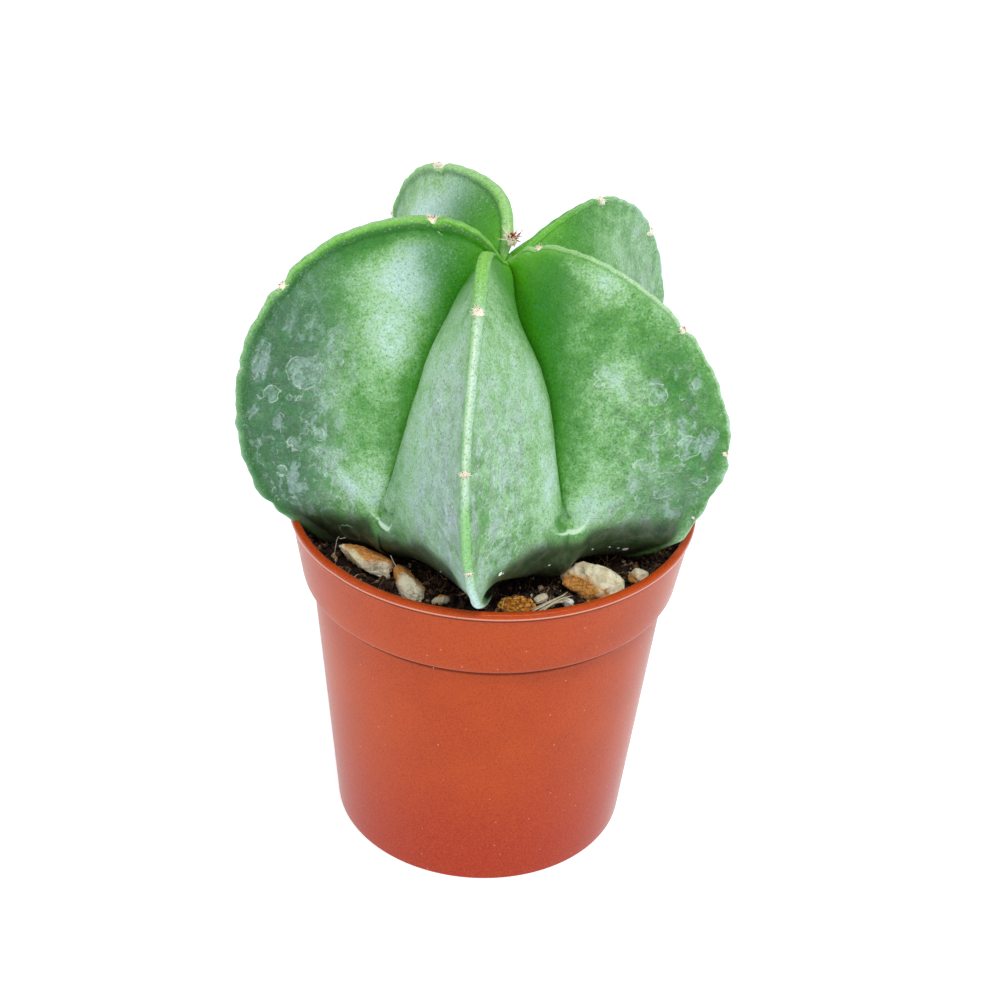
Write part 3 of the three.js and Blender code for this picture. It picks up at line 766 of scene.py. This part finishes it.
# the waxy bloom, thick in some places and rubbed off in others, with painted highlight where the light is
# reflected, as on the left rib's flank near its furrow, and the blue-green it has lower down, partly painted
# shade
bloom = 0.26 + 0.08 * rise(furrow, 1.5, 6) + 0.4 * right_edge
bloom += patches({
    (0, -1): [(0.4, 6.5, 4, 12, 12), (0.25, 8.9, 0.8, 1, 2)],
    (0, 1): [(0.4, 7.4, 1.0, 4, 3), (0.34, 5.5, 3, 12, 12)],
    (1, -1): [
        (-0.5, 2, 1.8, 4, 8), (0.12, 3.2, 0.8, 14, 4), (0.12, 3.6, 0.7, 8.5, 3), (-0.12, 4.6, 0.8, 15, 3),
        (0.35, 5.3, 0.7, 11, 3), (-0.2, 5.6, 0.7, 17, 3), (0.1, 7.2, 1.2, 14, 5), (-0.3, 7.4, 0.8, 20, 3),
        (0.2, 8.2, 1.2, 6, 6), (0.35, 8.6, 0.7, 2, 4),
    ],
    (2, -1): [(0.15, 4.5, 2.2, 9, 8), (0.15, 6, 1.6, 19, 6)],
    (3, 1): [(-0.5, 1.6, 1.5, 5, 6), (1.0, 4, 2.5, 9, 8)],
    (4, 1): [
        (0.2, 2.7, 0.7, 9, 3), (0.35, 2.9, 0.6, 8, 3), (0.7, 3.3, 1.1, 10, 4.5), (0.1, 4.6, 1.0, 17, 4),
        (0.45, 4.8, 0.6, 7, 3), (0.16, 5.8, 1.5, 12, 5), (0.2, 6.5, 0.6, 12, 3), (-0.22, 6.8, 2.6, 17, 7),
        (0.3, 8.3, 0.9, 2.5, 3), (0.25, 8.8, 1.4, 7, 5), (0.25, 8.9, 0.8, 1, 2), (-0.15, 9.2, 1.5, 11, 9),
        (-0.1, 9.2, 0.5, 13.5, 3),
    ],
})
# painted highlight along a soft ridge low on the left rib's inner flank, and painted shade under that rib's
# cord
bloom += 0.32 * left_inner * bell(furrow, 5.9 + 7 * (8.6 - place), 1.8) * bell(place, 8.5, 0.8)
bloom -= 0.45 * left_inner * bell(crest, 2.8, 1.6) * rise(place, 5, 3.6)
bloom += 0.3 * on_front * bell(crest, 0, 4) * rise(place, 8.2, 9.2)
bloom += bell(crest, 0, 0.75) * np.where(on_front, 0.35, 0.3)
# the blue-green: partly the skin's own tone, partly painted shade on the flanks that face away from the light
teal = patches({
    (1, -1): [(0.6, 8.6, 1.6, 14, 8)],
    (4, 1): [(0.4, 5.4, 1.2, 20, 4), (1.0, 7.2, 2.6, 18, 8), (0.6, 9.4, 1.6, 12, 8)],
})
teal += 0.5 * (side < 0) * (on_front * rise(place, 5, 8) + on_left * rise(place, 4, 7))
# the dark underside, partly corky skin and partly painted shade under the ribs, which leaves the front
# rib's keel clean and is softer round the back, and the wear and lilac cast above it
keel_width = np.where(side < 0, 5.4, 4.2 - 2.8 * rise(place, 10.2, 11.6))
keel = on_front * np.exp(-((crest / keel_width) ** 4)) * rise(place, 13, 12.2)
onset = np.select([on_front, on_right], [8.4 + 0.2 * rise(furrow, 2, 9), 8.6], 9.3)
left_gap = front_left | left_inner
left_onset = 9.7 + np.where(on_left, -0.5 * rise(furrow, 0, 2.5), -1.0 * rise(furrow, 3, 9))
onset = np.where(left_gap, left_onset, onset + 0.4 * rise(furrow, 4.5, 1.5))
sheltered = on_right_rear | on_left_rear | on_right & (side > 0) | on_left & (side < 0)
under = rise(place, onset, onset + 1.3 + 1.4 * sheltered) * rise(crest, 0.3, 2.5)
under *= (1 - keel) * (1 - 0.4 * sheltered)
worn = rise(place, 4.2, 6.5) * rise(crest, 1.0, 2.5) * rise(crest, 18, 12) * np.where(on_front, 1.1, 1)
lilac = on_front * np.where(side < 0, 0.5 + 0.7 * bell(crest, 5, 4.5) * rise(place, 3, 6), 0.3)
lilac += 0.6 * on_right_rear * (side < 0) * rise(place, 3.5, 5.5)
# the lines along each crest: a painted highlight on its ridge, the yellow-green bead beside it, partly
# painted highlight, and the dark groove beyond, partly painted shade in the neck under the cord
pale_line = (0.2 + 0.8 * rise(place, 3.8, 4.6)) * (1 - 0.85 * rise(place, 6.5, 7.4))
ridge = bell(crest, 0, 0.2) * np.where(on_front, pale_line, 0.25)
ridge += 0.35 * (on_left_rear | on_right) * bell(crest, 0.3, 0.8) * rise(place, 6, 4)
ridge += 0.3 * on_left * bell(crest, 0, 0.5) * rise(place, 4, 6)
ridge += 0.2 * on_left * bell(crest, 0.5, 0.2) * rise(place, 7, 5)
outer_bead = bell(crest, np.array([0, 0.6, 1, 0.5, 0.5])[rib], np.array([1, 0.6, 0.4, 0.5, 0.35])[rib])
outer_bead *= np.array([0, 0.2, 0, 0.8, 0.95])[rib] * (1 - np.where(on_left, 0.8, 1) * rise(place, 4.6, 7))
tip_bead = 1.2 * rise(place, 4.6, 3.0) * bell(crest, 0, 1.1)
front_bead = np.maximum((side < 0) * bell(crest, 0.95, 0.55), tip_bead) * rise(place, 7.4, 6.8)
low_bead = 0.8 * bell(crest, 0.25 + 0.25 * (side < 0), 0.6) * rise(place, 6.8, 7.4) * rise(place, 8.9, 8.2)
strip = np.where(on_front, np.maximum(front_bead, low_bead), outer_bead)
groove = bell(crest, 1.4 + 0.1 * on_left, 0.5) * (1 - 0.5 * rise(place, 5, 8))
groove *= 0.8 * on_left_rear + on_left
groove += 0.6 * front_left * bell(crest, 1.5, 0.45) * rise(place, 3, 4.5) * rise(place, 9, 7.5)

skin = Finish("cactus_skin", IOR=1.42)
height = skin.height()
cloud = skin.at.noise(0.22, 4, 0.6)
dapple = skin.at.noise(0.7, 5, 0.7)
speckle = skin.at.noise(3.6, 3, 0.75)
patchy = (cloud - 0.5) * 0.8 + (dapple - 0.5) * 0.9
# the bloom together with its painted highlight
wax_and_highlight = (skin.reads("bloom") + patchy * 0.9 + (speckle - 0.5) * 0.45).step(-0.1, 1.15)
# darker blue-green skin with painted shade
cool_and_shade = (skin.reads("teal") + patchy * 0.8).step(0.05, 0.9)
fresh = (skin.reads("young") + patchy * 0.4).step(0.1, 1.0)
colour = laid(
    wax_and_highlight.ramp((0, "327a20"), (0.28, "5f9a4c"), (0.55, "94c287"), (0.8, "b2d5b8"), (1, "cce8e4")),
    (cool_and_shade * 0.62, wax_and_highlight.blend("28503c", "7fa096")),
    (skin.reads("lilac") * wax_and_highlight * 0.4, "b4bcc4"),
    (fresh * 0.9, "2b7d10"),
    (skin.reads("gutter") * 0.85, height.step(60, 80).blend("52a81c", "46a80e")),
    ((skin.reads("glow") * (0.55 + patchy * 0.6)).least(0.9), "62b60c"),
    # painted shade in the groove and the creases, painted highlight on the bead and the ridge
    (skin.reads("groove") * 0.75, "1f5f0c"),
    (skin.reads("crease") * 0.6, "174a0a"),
    ((skin.reads("strip") * 0.85).least(1.0), "74c028"),
    (skin.reads("ridge") * 0.75, "d8eec6"),
)

# drops of water dried into pale outlines, placed by rib, side, crest point, share of the way to the furrow
# and size, with a scatter of smaller rings and scratches between them
DROPS = [
    (4, 1, 6.4, 0.3, 2.3), (4, 1, 5.9, 0.42, 0.8), (4, 1, 7.1, 0.17, 1.0), (4, 1, 8.0, 0.3, 1.1),
    (4, 1, 8.7, 0.2, 0.8), (4, 1, 7.6, 0.42, 0.9), (1, -1, 6.0, 0.29, 1.3), (1, -1, 6.7, 0.33, 1.2),
    (1, -1, 7.1, 0.1, 1.1), (1, -1, 7.3, 0.2, 1.5), (1, -1, 7.5, 0.42, 1.1), (1, -1, 8.3, 0.3, 1.3),
    (1, -1, 8.0, 0.12, 0.9), (1, -1, 5.2, 0.5, 1.6), (0, -1, 5.8, 0.4, 1.1), (0, -1, 7.3, 0.22, 1.2),
    (0, 1, 7.0, 0.16, 1.0), (0, 1, 8.7, 0.3, 2.8), (4, 1, 10.6, 0.5, 1.7), (4, 1, 10.9, 0.72, 1.2),
]
wobble = skin.start.node("TexNoise", {}, {"Vector": skin.at, "Scale": 0.6, "Detail": 5.0}, 1) - 0.5
shaky = skin.at + wobble * 3.0
gap, inside = None, None
for turn, on_side, point, share, size in DROPS:
    spots = flank(turn, on_side, np.array([point]), np.array([0, share]))[0]
    middle = spots[0, 1] @ world_turn(turn)
    away = shaky.node("VectorMath", {"operation": "DISTANCE"}, {0: shaky, 1: Vector(middle)}, 1) - size
    gap = abs(away) if gap is None else gap.least(abs(away))
    inside = away if inside is None else inside.least(away)
broken = skin.at.noise(0.8, 3).step(0.4, 0.55)
loops = gap.step(0.16, 0.02) * broken
pale_drop = inside.step(0.1, -0.5) * dapple.step(0.35, 0.6)
small = (shaky * (1, 1, 0.7)).cells(0.62)
rings = abs(small - 0.4).step(0.05, 0.0) * skin.at.noise(0.7, 2).step(0.5, 0.58)
streak = (shaky * (0.6, 0.6, 1)).noise(1.4, 6, 0.72, 1.4)
scratch = abs(streak - 0.5).step(0.016, 0.0) * skin.at.noise(0.45, 2).step(0.42, 0.52)
fibre = (skin.at * (1, 1, 0.8)).noise(2.8, 4, 0.7, 1.0)
hairline = abs(fibre - 0.5).step(0.02, 0.0) * skin.at.noise(0.6, 2).step(0.48, 0.6)
wear = skin.reads("worn")
smudge = (shaky * (1, 1, 0.5)).noise(0.5, 5, 0.6, 0.5).step(0.53, 0.64) * wear
marks = (loops * 0.75 + (rings * 0.7 + scratch * 0.7 + hairline * 0.55) * wear).least(1.0)
hue = skin.at.noise(2.4, 3, 0.8)
line_grain = (skin.reads("groove") + skin.reads("strip") * 0.4) * speckle.step(0.57, 0.67)
fleck = skin.at.cells(2.4).step(0.2, 0.08) * skin.at.noise(0.7, 2).step(0.5, 0.6)

# dark underside where the body meets the mix, partly corky skin and partly painted shade that is darkest
# towards the soil, and the pale edge of each lip above it
cork_and_shade = (skin.reads("under") + patchy * 0.9).step(0.12, 0.9)
shade_near_soil = (height + patchy * 3).step(52.5, 48.2) * skin.reads("under")
lip_line = (abs(skin.reads("lip_gap")) + skin.reads("lip_share") * 0.22).step(0.36, 0.14)
lip_line = lip_line * skin.reads("lip_share").step(1.1, 0.7) * skin.at.noise(1.2, 2).step(0.25, 0.45)
colour = laid(
    colour,
    (hue.step(0.52, 0.7) * 0.4, "62a02c"),
    (hue.step(0.48, 0.3) * 0.4, "4f967c"),
    (smudge * 0.4, skin.reads("lilac").blend("bfd2d6", "c9cde2")),
    (marks * 0.62, "dcebe4"),
    (pale_drop * 0.4, "b4d0c6"),
    (speckle.step(0.5, 0.25) * 0.75, "1f5f22"),
    (speckle.step(0.55, 0.75) * 0.6 * wax_and_highlight, "d3e8d3"),
    (line_grain * 0.3, "d8eec6"),
    # corky skin and painted shade underneath, the painted shade darkest by the soil
    (cork_and_shade * 0.92, dapple.step(0.35, 0.65).blend("183418", "444e30")),
    (loops * skin.reads("under") * 0.5, "b8c8b0"),
    (lip_line * 0.75, "d6ecd4"),
    (shade_near_soil * 0.75, "1c1a0e"),
    (fleck * 0.4 * wax_and_highlight, "c3d9bf"),
)
skin_roughness = 0.3 + wax_and_highlight * 0.26 + marks * 0.1 + speckle * 0.08
skin_bump = skin.bumps(speckle * 0.55 + dapple * 0.5 + marks * 0.5, 0.1)
skin_finish = skin.feed(Base_Color=colour, Roughness=skin_roughness, Normal=skin_bump)

skin_facts = {"gutter": gutter, "crease": crease, "young": young, "glow": glow, "bloom": bloom, "teal": teal}
skin_facts.update({"under": under, "worn": worn, "lilac": lilac, "ridge": ridge, "strip": strip})
skin_facts.update({"groove": groove, "lip_gap": lip_gap, "lip_share": lip_share})
piece("ribbed_body", skin_points, skin_faces, "cactus_skin", skin_finish, ["cactus_body"], skin_facts)

# ---- areoles ----
# In each dent of a crest sits a cushion of cream wool with a few brown spine stubs, and a larger red-brown
# tuft stands at the growing point in the crown.
wool = Finish("areole_wool", Roughness=0.9)
shade = wool.reads("tint")
colour = (shade + (wool.at.noise(3.0, 3) - 0.5) * 0.35).ramp(
    (0, "fdf6e8"), (0.4, "f2e0c6"), (0.7, "a8552e"), (1, "5a2a14")
)
wool_finish = wool.feed(Base_Color=colour, Normal=wool.bumps(wool.at.noise(6.0, 3), 0.08))


def tuft(rng, centre, outward, radius, tall, hairs, stubs, dark, coarse=1.0):
    """A woolly cushion of curled hairs with short stiff stubs in it, darkened by dark in its middle."""
    heap = Heap()
    centre, outward = np.asarray(centre, float), np.asarray(outward, float)
    form, faces = broken_lump(rng, 3, (radius * 0.66,) * 3, 4, 0.3)
    middle = np.clip(0.8 - np.linalg.norm(form - outward * radius * 0.66, axis=1) / radius, 0, 1) * dark
    heap.add(form + centre, faces, 0.05 + middle)
    for k in range(hairs + stubs):
        soft = k < hairs
        lean = rng.normal(size=3)
        heading = unit(outward * (0.7 if soft else 1.0) + lean * ((0.75 if soft else 0.25) / tall))
        length = radius * tall * (rng.uniform(0.35, 1.0) if soft else rng.uniform(0.35, 0.75))
        curl = rng.normal(size=3) * length * (0.65 if soft else 0.15)
        share = np.linspace(0, 1, 5)[:, None]
        path = centre + heading * radius * 0.45 + heading * length * share + curl * share**2
        thick = radius * coarse * (0.085 if soft else 0.15)
        shade = float(rng.uniform(0, 0.3)) if soft else float(rng.uniform(0.5, 0.9))
        heap.add(*strand(path, thick * (1.05 - share[:, 0])), shade)
    return heap


CROWN_TUFT = (0.8, 0.6, 88.3)
rng = np.random.default_rng(7)
place = np.linspace(0, LAST, 561)
for turn, rib in enumerate(RIBS):
    out, shift, height = crest_line(rib, place)
    for number, areole in enumerate(rib[3]):
        k = int(np.searchsorted(place, areole))
        slope = unit(np.array([out[k + 1] - out[k - 1], 0, height[k + 1] - height[k - 1]]))
        outward = np.array([-slope[2], 0, slope[0]])
        centre = np.array([out[k], shift[k], height[k]]) - (0.7 if turn == 4 else 0.55) * outward
        size = 1.2 if (turn, number) == (4, 0) else 0.95 - 0.3 * float(rise(areole, 5.5, 8.5))
        size *= 0.75 if turn == 1 else 1
        dark = 0.85 if turn == 1 else 0.35
        fan = tuft(rng, centre @ world_turn(turn), outward @ world_turn(turn), size, 0.6, 70, 8, dark)
        node = f"areole_{rib[0]}_{number + 1}"
        fan.piece(f"wool_{rib[0]}_{number + 1}", "areole_wool", wool_finish, [node])
crown_fan = tuft(rng, CROWN_TUFT, (0.0, -0.1, 0.99), 1.0, 1.15, 60, 30, 0.8, 1.8)
to_right = (np.array(crown_fan.points) - CROWN_TUFT) @ (0.9, 0.1, -0.15)  # it is browner on that side
crown_fan.tints = list(np.clip(np.add(crown_fan.tints, 0.12) + 0.4 * rise(to_right, 0.115, 0.615), 0, 1))
crown_fan.piece("wool_crown", "areole_wool", wool_finish, ["areole_crown"])

# ---- gravel ----
# Broken stones a few millimetres across, ochre and cream, pressed into the mix for weight and drainage, with
# rusty stains, pits and grey hairline cracks.


def stone_finish(name, body, pale, stain):
    """Granular broken stone: two body colours, rusty and chalky parts, dark pits that are partly painted
    shade, and fine cracks.
    """
    stone = Finish(name, IOR=1.5)
    coarse, fine = stone.at.noise(0.55, 4, 0.6), stone.at.noise(3.0, 4, 0.75)
    colour = coarse.step(0.42, 0.6).blend(body, pale)
    rusty = (stone.reads("rust") + (coarse - 0.5) * 1.3 + (fine - 0.5) * 0.7).step(0.25, 0.65)
    colour = (rusty * 0.92).blend(colour, fine.step(0.35, 0.65).blend("a85c10", stain))
    chalky = (stone.reads("chalk") + (coarse - 0.5) * 0.9).step(0.35, 0.6)
    colour = (chalky * 0.85).blend(colour, "fff6d8")
    crack = (stone.at + (coarse - 0.5) * 2).cells(0.8, "DISTANCE_TO_EDGE").step(0.06, 0.0)
    crack = crack * (0.12 + chalky * 0.5) * coarse.step(0.45, 0.6)
    colour = (crack * 0.65).blend(colour, "6a665c")
    # dark pits in the low spots of the bump, partly painted shade
    pits_and_shade = fine.step(0.42, 0.28)
    colour = laid(
        colour,
        (pits_and_shade * 0.8, "5a4216"),
        (coarse.step(0.5, 0.36) * fine.step(0.4, 0.6) * 0.4, "8a8460"),
        (fine.step(0.6, 0.75) * 0.4, "f6f1e0"),
    )
    relief = fine * 0.8 + coarse * 0.4 - crack * 0.6
    return stone.feed(Base_Color=colour, Roughness=0.6 + fine * 0.35, Normal=stone.bumps(relief, 0.3))


ochre_finish = stone_finish("ochre_stone", "fdebb8", "fffadc", "f6a024")
pale_finish = stone_finish("pale_stone", "e8dab4", "fff6d6", "f2a428")
GRAVEL = [
    # node, half sizes, centre, turn, tilt, seed, slot, and in shares of the half sizes rusty and chalky spots
    ("gravel_ochre_long", (4.7, 1.65, 1.75), (-15.7, -13.35, 47.75), -26, 4, 3, "ochre_stone",
     [(0.05, 0.3, 0.7), (0.45, 0.6, 0.4), (0.4, -0.1, 0.8), (-0.1, 0.7, 0.5)], [(0.8, -0.5, 0.3)]),
    ("gravel_pale_oval", (4.3, 1.8, 1.75), (-10.35, -17.7, 47.5), -64, -4, 12, "pale_stone",
     [(-0.8, 0.0, 0.6), (-0.5, -0.6, 0.5), (0.0, 0.8, 0.5)], [(0.5, -0.4, 0.6)]),
    ("gravel_cream_large", (4.5, 2.7, 2.6), (13.4, -16.1, 48.0), -14, 6, 5, "pale_stone",
     [(-0.5, -0.8, 0.0), (0.0, -0.7, -0.4)], []),
    ("gravel_cream_small", (1.5, 1.2, 1.2), (19.6, -12.9, 47.3), 40, 0, 8, "pale_stone",
     [(-0.9, 0, 0)], [(0.6, 0, 0.9)]),
    ("gravel_grey_chip", (1.3, 0.8, 0.8), (-6.0, -20.1, 47.0), 15, 0, 2, "pale_stone", [(0, 0.3, 0.9)], []),
    ("gravel_rear_ochre", (2.9, 2.1, 1.8), (4.6, 21.4, 47.4), 12, 0, 6, "ochre_stone",
     [(0, 0.5, 0.5)], [(1, 0, 0)]),
    ("gravel_rear_pale", (2.2, 1.7, 1.5), (-16.0, 14.6, 47.3), 70, 0, 9, "pale_stone",
     [(-0.7, 0, 0.6)], [(0.5, 0, 0.5)]),
]


def near_spots(form, half, spots):
    """1 at the spots given in shares of the half sizes, and 0 away from them."""
    gaps = [np.sum((form / half - spot) ** 2, axis=1) for spot in spots]
    return sum((np.exp(-gap / 0.5) for gap in gaps), np.zeros(len(form)))


for node, half, centre, yaw, tilt, seed, slot, rusty_spots, chalky_spots in GRAVEL:
    form, faces = broken_lump(np.random.default_rng(seed), 6 if max(half) > 2.5 else 5, half, 9, 0.11)
    spots = {"rust": near_spots(form, half, rusty_spots), "chalk": near_spots(form, half, chalky_spots)}
    finish = ochre_finish if slot == "ochre_stone" else pale_finish
    form = form @ turn_about(yaw, tilt).T + centre
    piece(node.replace("gravel", "stone"), form, faces, slot, finish, [node], spots)

# ---- small litter on the mix ----
# A rusty crumb of fired clay, two grains of white perlite, a seed husk, a split straw, bark chips and a few
# dry hairs, all loose.
rust = Finish("rust_crumb", Roughness=0.9)
grain = rust.at.noise(1.6, 4, 0.7)
colour = (rust.reads("tint") * 0.6 + grain * 0.4).ramp((0, "6a3408"), (0.5, "c67c1c"), (1, "f2c870"))
rust_finish = rust.feed(Base_Color=colour, Normal=rust.bumps(grain, 0.2))
CLAY_MIDDLE = (3.9, -20.9, 47.2)
rng = np.random.default_rng(23)
clay = Heap()
base, faces = broken_lump(rng, 3, (2.3, 1.5, 0.9), 6, 0.12)
clay.add(base + CLAY_MIDDLE, faces, 0.2)
for _ in range(130):
    angle, tip = rng.uniform(0, 2 * math.pi), rng.uniform(-0.2, 1)
    flat = math.sqrt(1 - tip * tip)
    spot = np.array((2.3 * flat * math.cos(angle), 1.5 * flat * math.sin(angle), 0.95 * tip))
    form, faces = broken_lump(rng, 1, rng.uniform(0.16, 0.4, 3), 4, 0.1)
    clay.add(form + spot + CLAY_MIDDLE, faces, float(rng.uniform(0, 1)))
clay.piece("rust_clay_crumb", "rust_crumb", rust_finish, ["rust_crumb"])

chalk = Finish("perlite", Roughness=0.9)
foam = chalk.at.cells(2.6)
colour = foam.step(0.1, 0.5).blend("cfc9bb", "f4f2ea")
chalk_finish = chalk.feed(Base_Color=colour, Normal=chalk.bumps(foam, 0.2))
for node, half, centre, seed in (
    ("perlite_grain_1", (0.9, 0.7, 0.7), (10.3, -19.6, 47.3), 1),
    ("perlite_grain_2", (0.8, 0.7, 0.6), (21.6, 7.6, 47.1), 4),
):
    form, faces = broken_lump(np.random.default_rng(seed), 4, half, 7, 0.12)
    piece(node.replace("perlite", "white"), form + centre, faces, "perlite", chalk_finish, [node])

dry = Finish("dry_straw", Roughness=0.6)
lines = dry.at.noise(2.8, 4, 0.6)
colour = dry.reads("tint").blend("e6dcc2", "8e7c5a")
colour = (lines.step(0.4, 0.65) * 0.5).blend(colour, "a58a55")
straw_finish = dry.feed(Base_Color=colour, Normal=dry.bumps(lines, 0.08))
STRAW_LENGTH = 6.4
STRAW_MIDDLE = np.array((8.3, -21.4, 48.0))
rng = np.random.default_rng(3)
straw = Heap()
heading = np.array([math.cos(math.radians(38)), math.sin(math.radians(38)), 0])
beside = np.array([-heading[1], heading[0], 0])
for k in range(10):
    share = np.linspace(-0.5, 0.5, 9)
    length = STRAW_LENGTH * rng.uniform(0.55, 1.0)
    slip = rng.uniform(-0.5, 0.5) * (STRAW_LENGTH - length)
    fan = (k - 4.5) * 0.1 * (1 + 0.9 * np.abs(2 * share) ** 3) + 0.07 * np.sin(6 * share + 2 * k)
    lift = 0.45 * (share + 0.5) + 0.2 * (1 - (2 * share) ** 2) + rng.uniform(-0.14, 0.16)
    path = STRAW_MIDDLE + heading * (length * share + slip)[:, None] + beside * fan[:, None]
    path[:, 2] += lift
    thick = rng.uniform(0.06, 0.12)
    straw.add(*strand(path, thick * (1 - 0.6 * np.abs(2 * share) ** 2), 5), float(rng.uniform(0, 1)))
straw.piece("split_straw", "dry_straw", straw_finish, ["straw"])

husk = Heap()
form, faces = ball(4)
ridge = 1 + 0.06 * np.cos(9 * np.arctan2(form[:, 2], form[:, 1]))
form = form * np.array((1.3, 0.6, 0.5)) * ridge[:, None] * (1 - 0.25 * np.abs(form[:, :1]) ** 3)
husk.add(form @ turn_about(35, -8).T + (6.9, -19.0, 47.3), faces, 0.15)
husk.piece("empty_husk", "dry_straw", straw_finish, ["seed_husk"])

hairs = Heap()
for line, thick in (
    ([(-20.4, -10.6, 47.0), (-20.3, -10.0, 47.8), (-20.1, -9.6, 48.7), (-19.6, -9.6, 49.0)], 0.05),
    ([(-19.8, -10.2, 49.0), (-18.6, -10.2, 49.3), (-17.2, -10.6, 49.4), (-15.6, -11.4, 49.1)], 0.055),
    ([(-20.6, -9.0, 49.2), (-20.0, -9.3, 49.6), (-19.0, -9.6, 49.5)], 0.06),
    ([(-12.8, -14.4, 49.7), (-12.5, -15.0, 49.4), (-11.9, -15.8, 48.8)], 0.05),
    ([(9.0, -19.8, 47.6), (10.2, -20.6, 48.0), (11.4, -20.9, 47.7)], 0.06),
):
    way = along_curve(line, np.linspace(0, len(line) - 1.01, 14))
    hairs.add(*strand(way, np.full(14, thick), 5), 0.0)
hairs.piece("dry_hairs", "dry_straw", straw_finish)

flakes = Heap()
rng = np.random.default_rng(5)
for spot, size in (
    ((1.4, -25.6, 55.5), 0.42), ((1.9, -25.1, 55.0), 0.16), ((7.6, -18.3, 52.3), 0.2),
    ((17.3, -10.9, 50.9), 0.46), ((16.7, -11.4, 51.6), 0.2), ((15.4, -12.8, 52.2), 0.18),
    ((13.2, -14.2, 52.6), 0.16), ((-6.4, -20.8, 51.0), 0.14),
):
    nearest = int(np.argmin(np.linalg.norm(skin_points - spot, axis=1)))
    out = normals[nearest]
    form, faces = broken_lump(rng, 2, (size, size * rng.uniform(0.5, 0.8), size * 0.3), 5, 0.15)
    aside = unit(np.cross(out, (0, 0, 1.0)))
    form = form @ np.array([aside, np.cross(out, aside), out])
    flakes.add(form + skin_points[nearest] + 0.08 * out, faces, 0.0)
flakes.piece("loose_flakes", "perlite", chalk_finish)

chip = Finish("bark_chip", Roughness=0.85)
layers = (chip.at * (0.6, 0.6, 3)).noise(1.4, 5, 0.65)
colour = layers.step(0.35, 0.65).blend("3b2416", "7a5334")
chip_finish = chip.feed(Base_Color=colour, Normal=chip.bumps(layers, 0.2))
for node, half, centre, yaw, tilt, seed in (
    ("bark_chip_1", (2.3, 1.1, 0.7), (22.6, -4.6, 47.2), 75, 6, 12),
    ("bark_chip_2", (1.8, 0.9, 0.6), (-22.2, 2.2, 47.1), 100, 5, 14),
):
    form, faces = broken_lump(np.random.default_rng(seed), 4, half, 12, 0.06)
    form[:, 2] = 0.75 * form[:, 2] + 0.25 * np.round(form[:, 2] / 0.22) * 0.22
    form = form @ turn_about(yaw, tilt).T + centre
    piece(node.replace("bark", "wood"), form, faces, "bark_chip", chip_finish, [node])
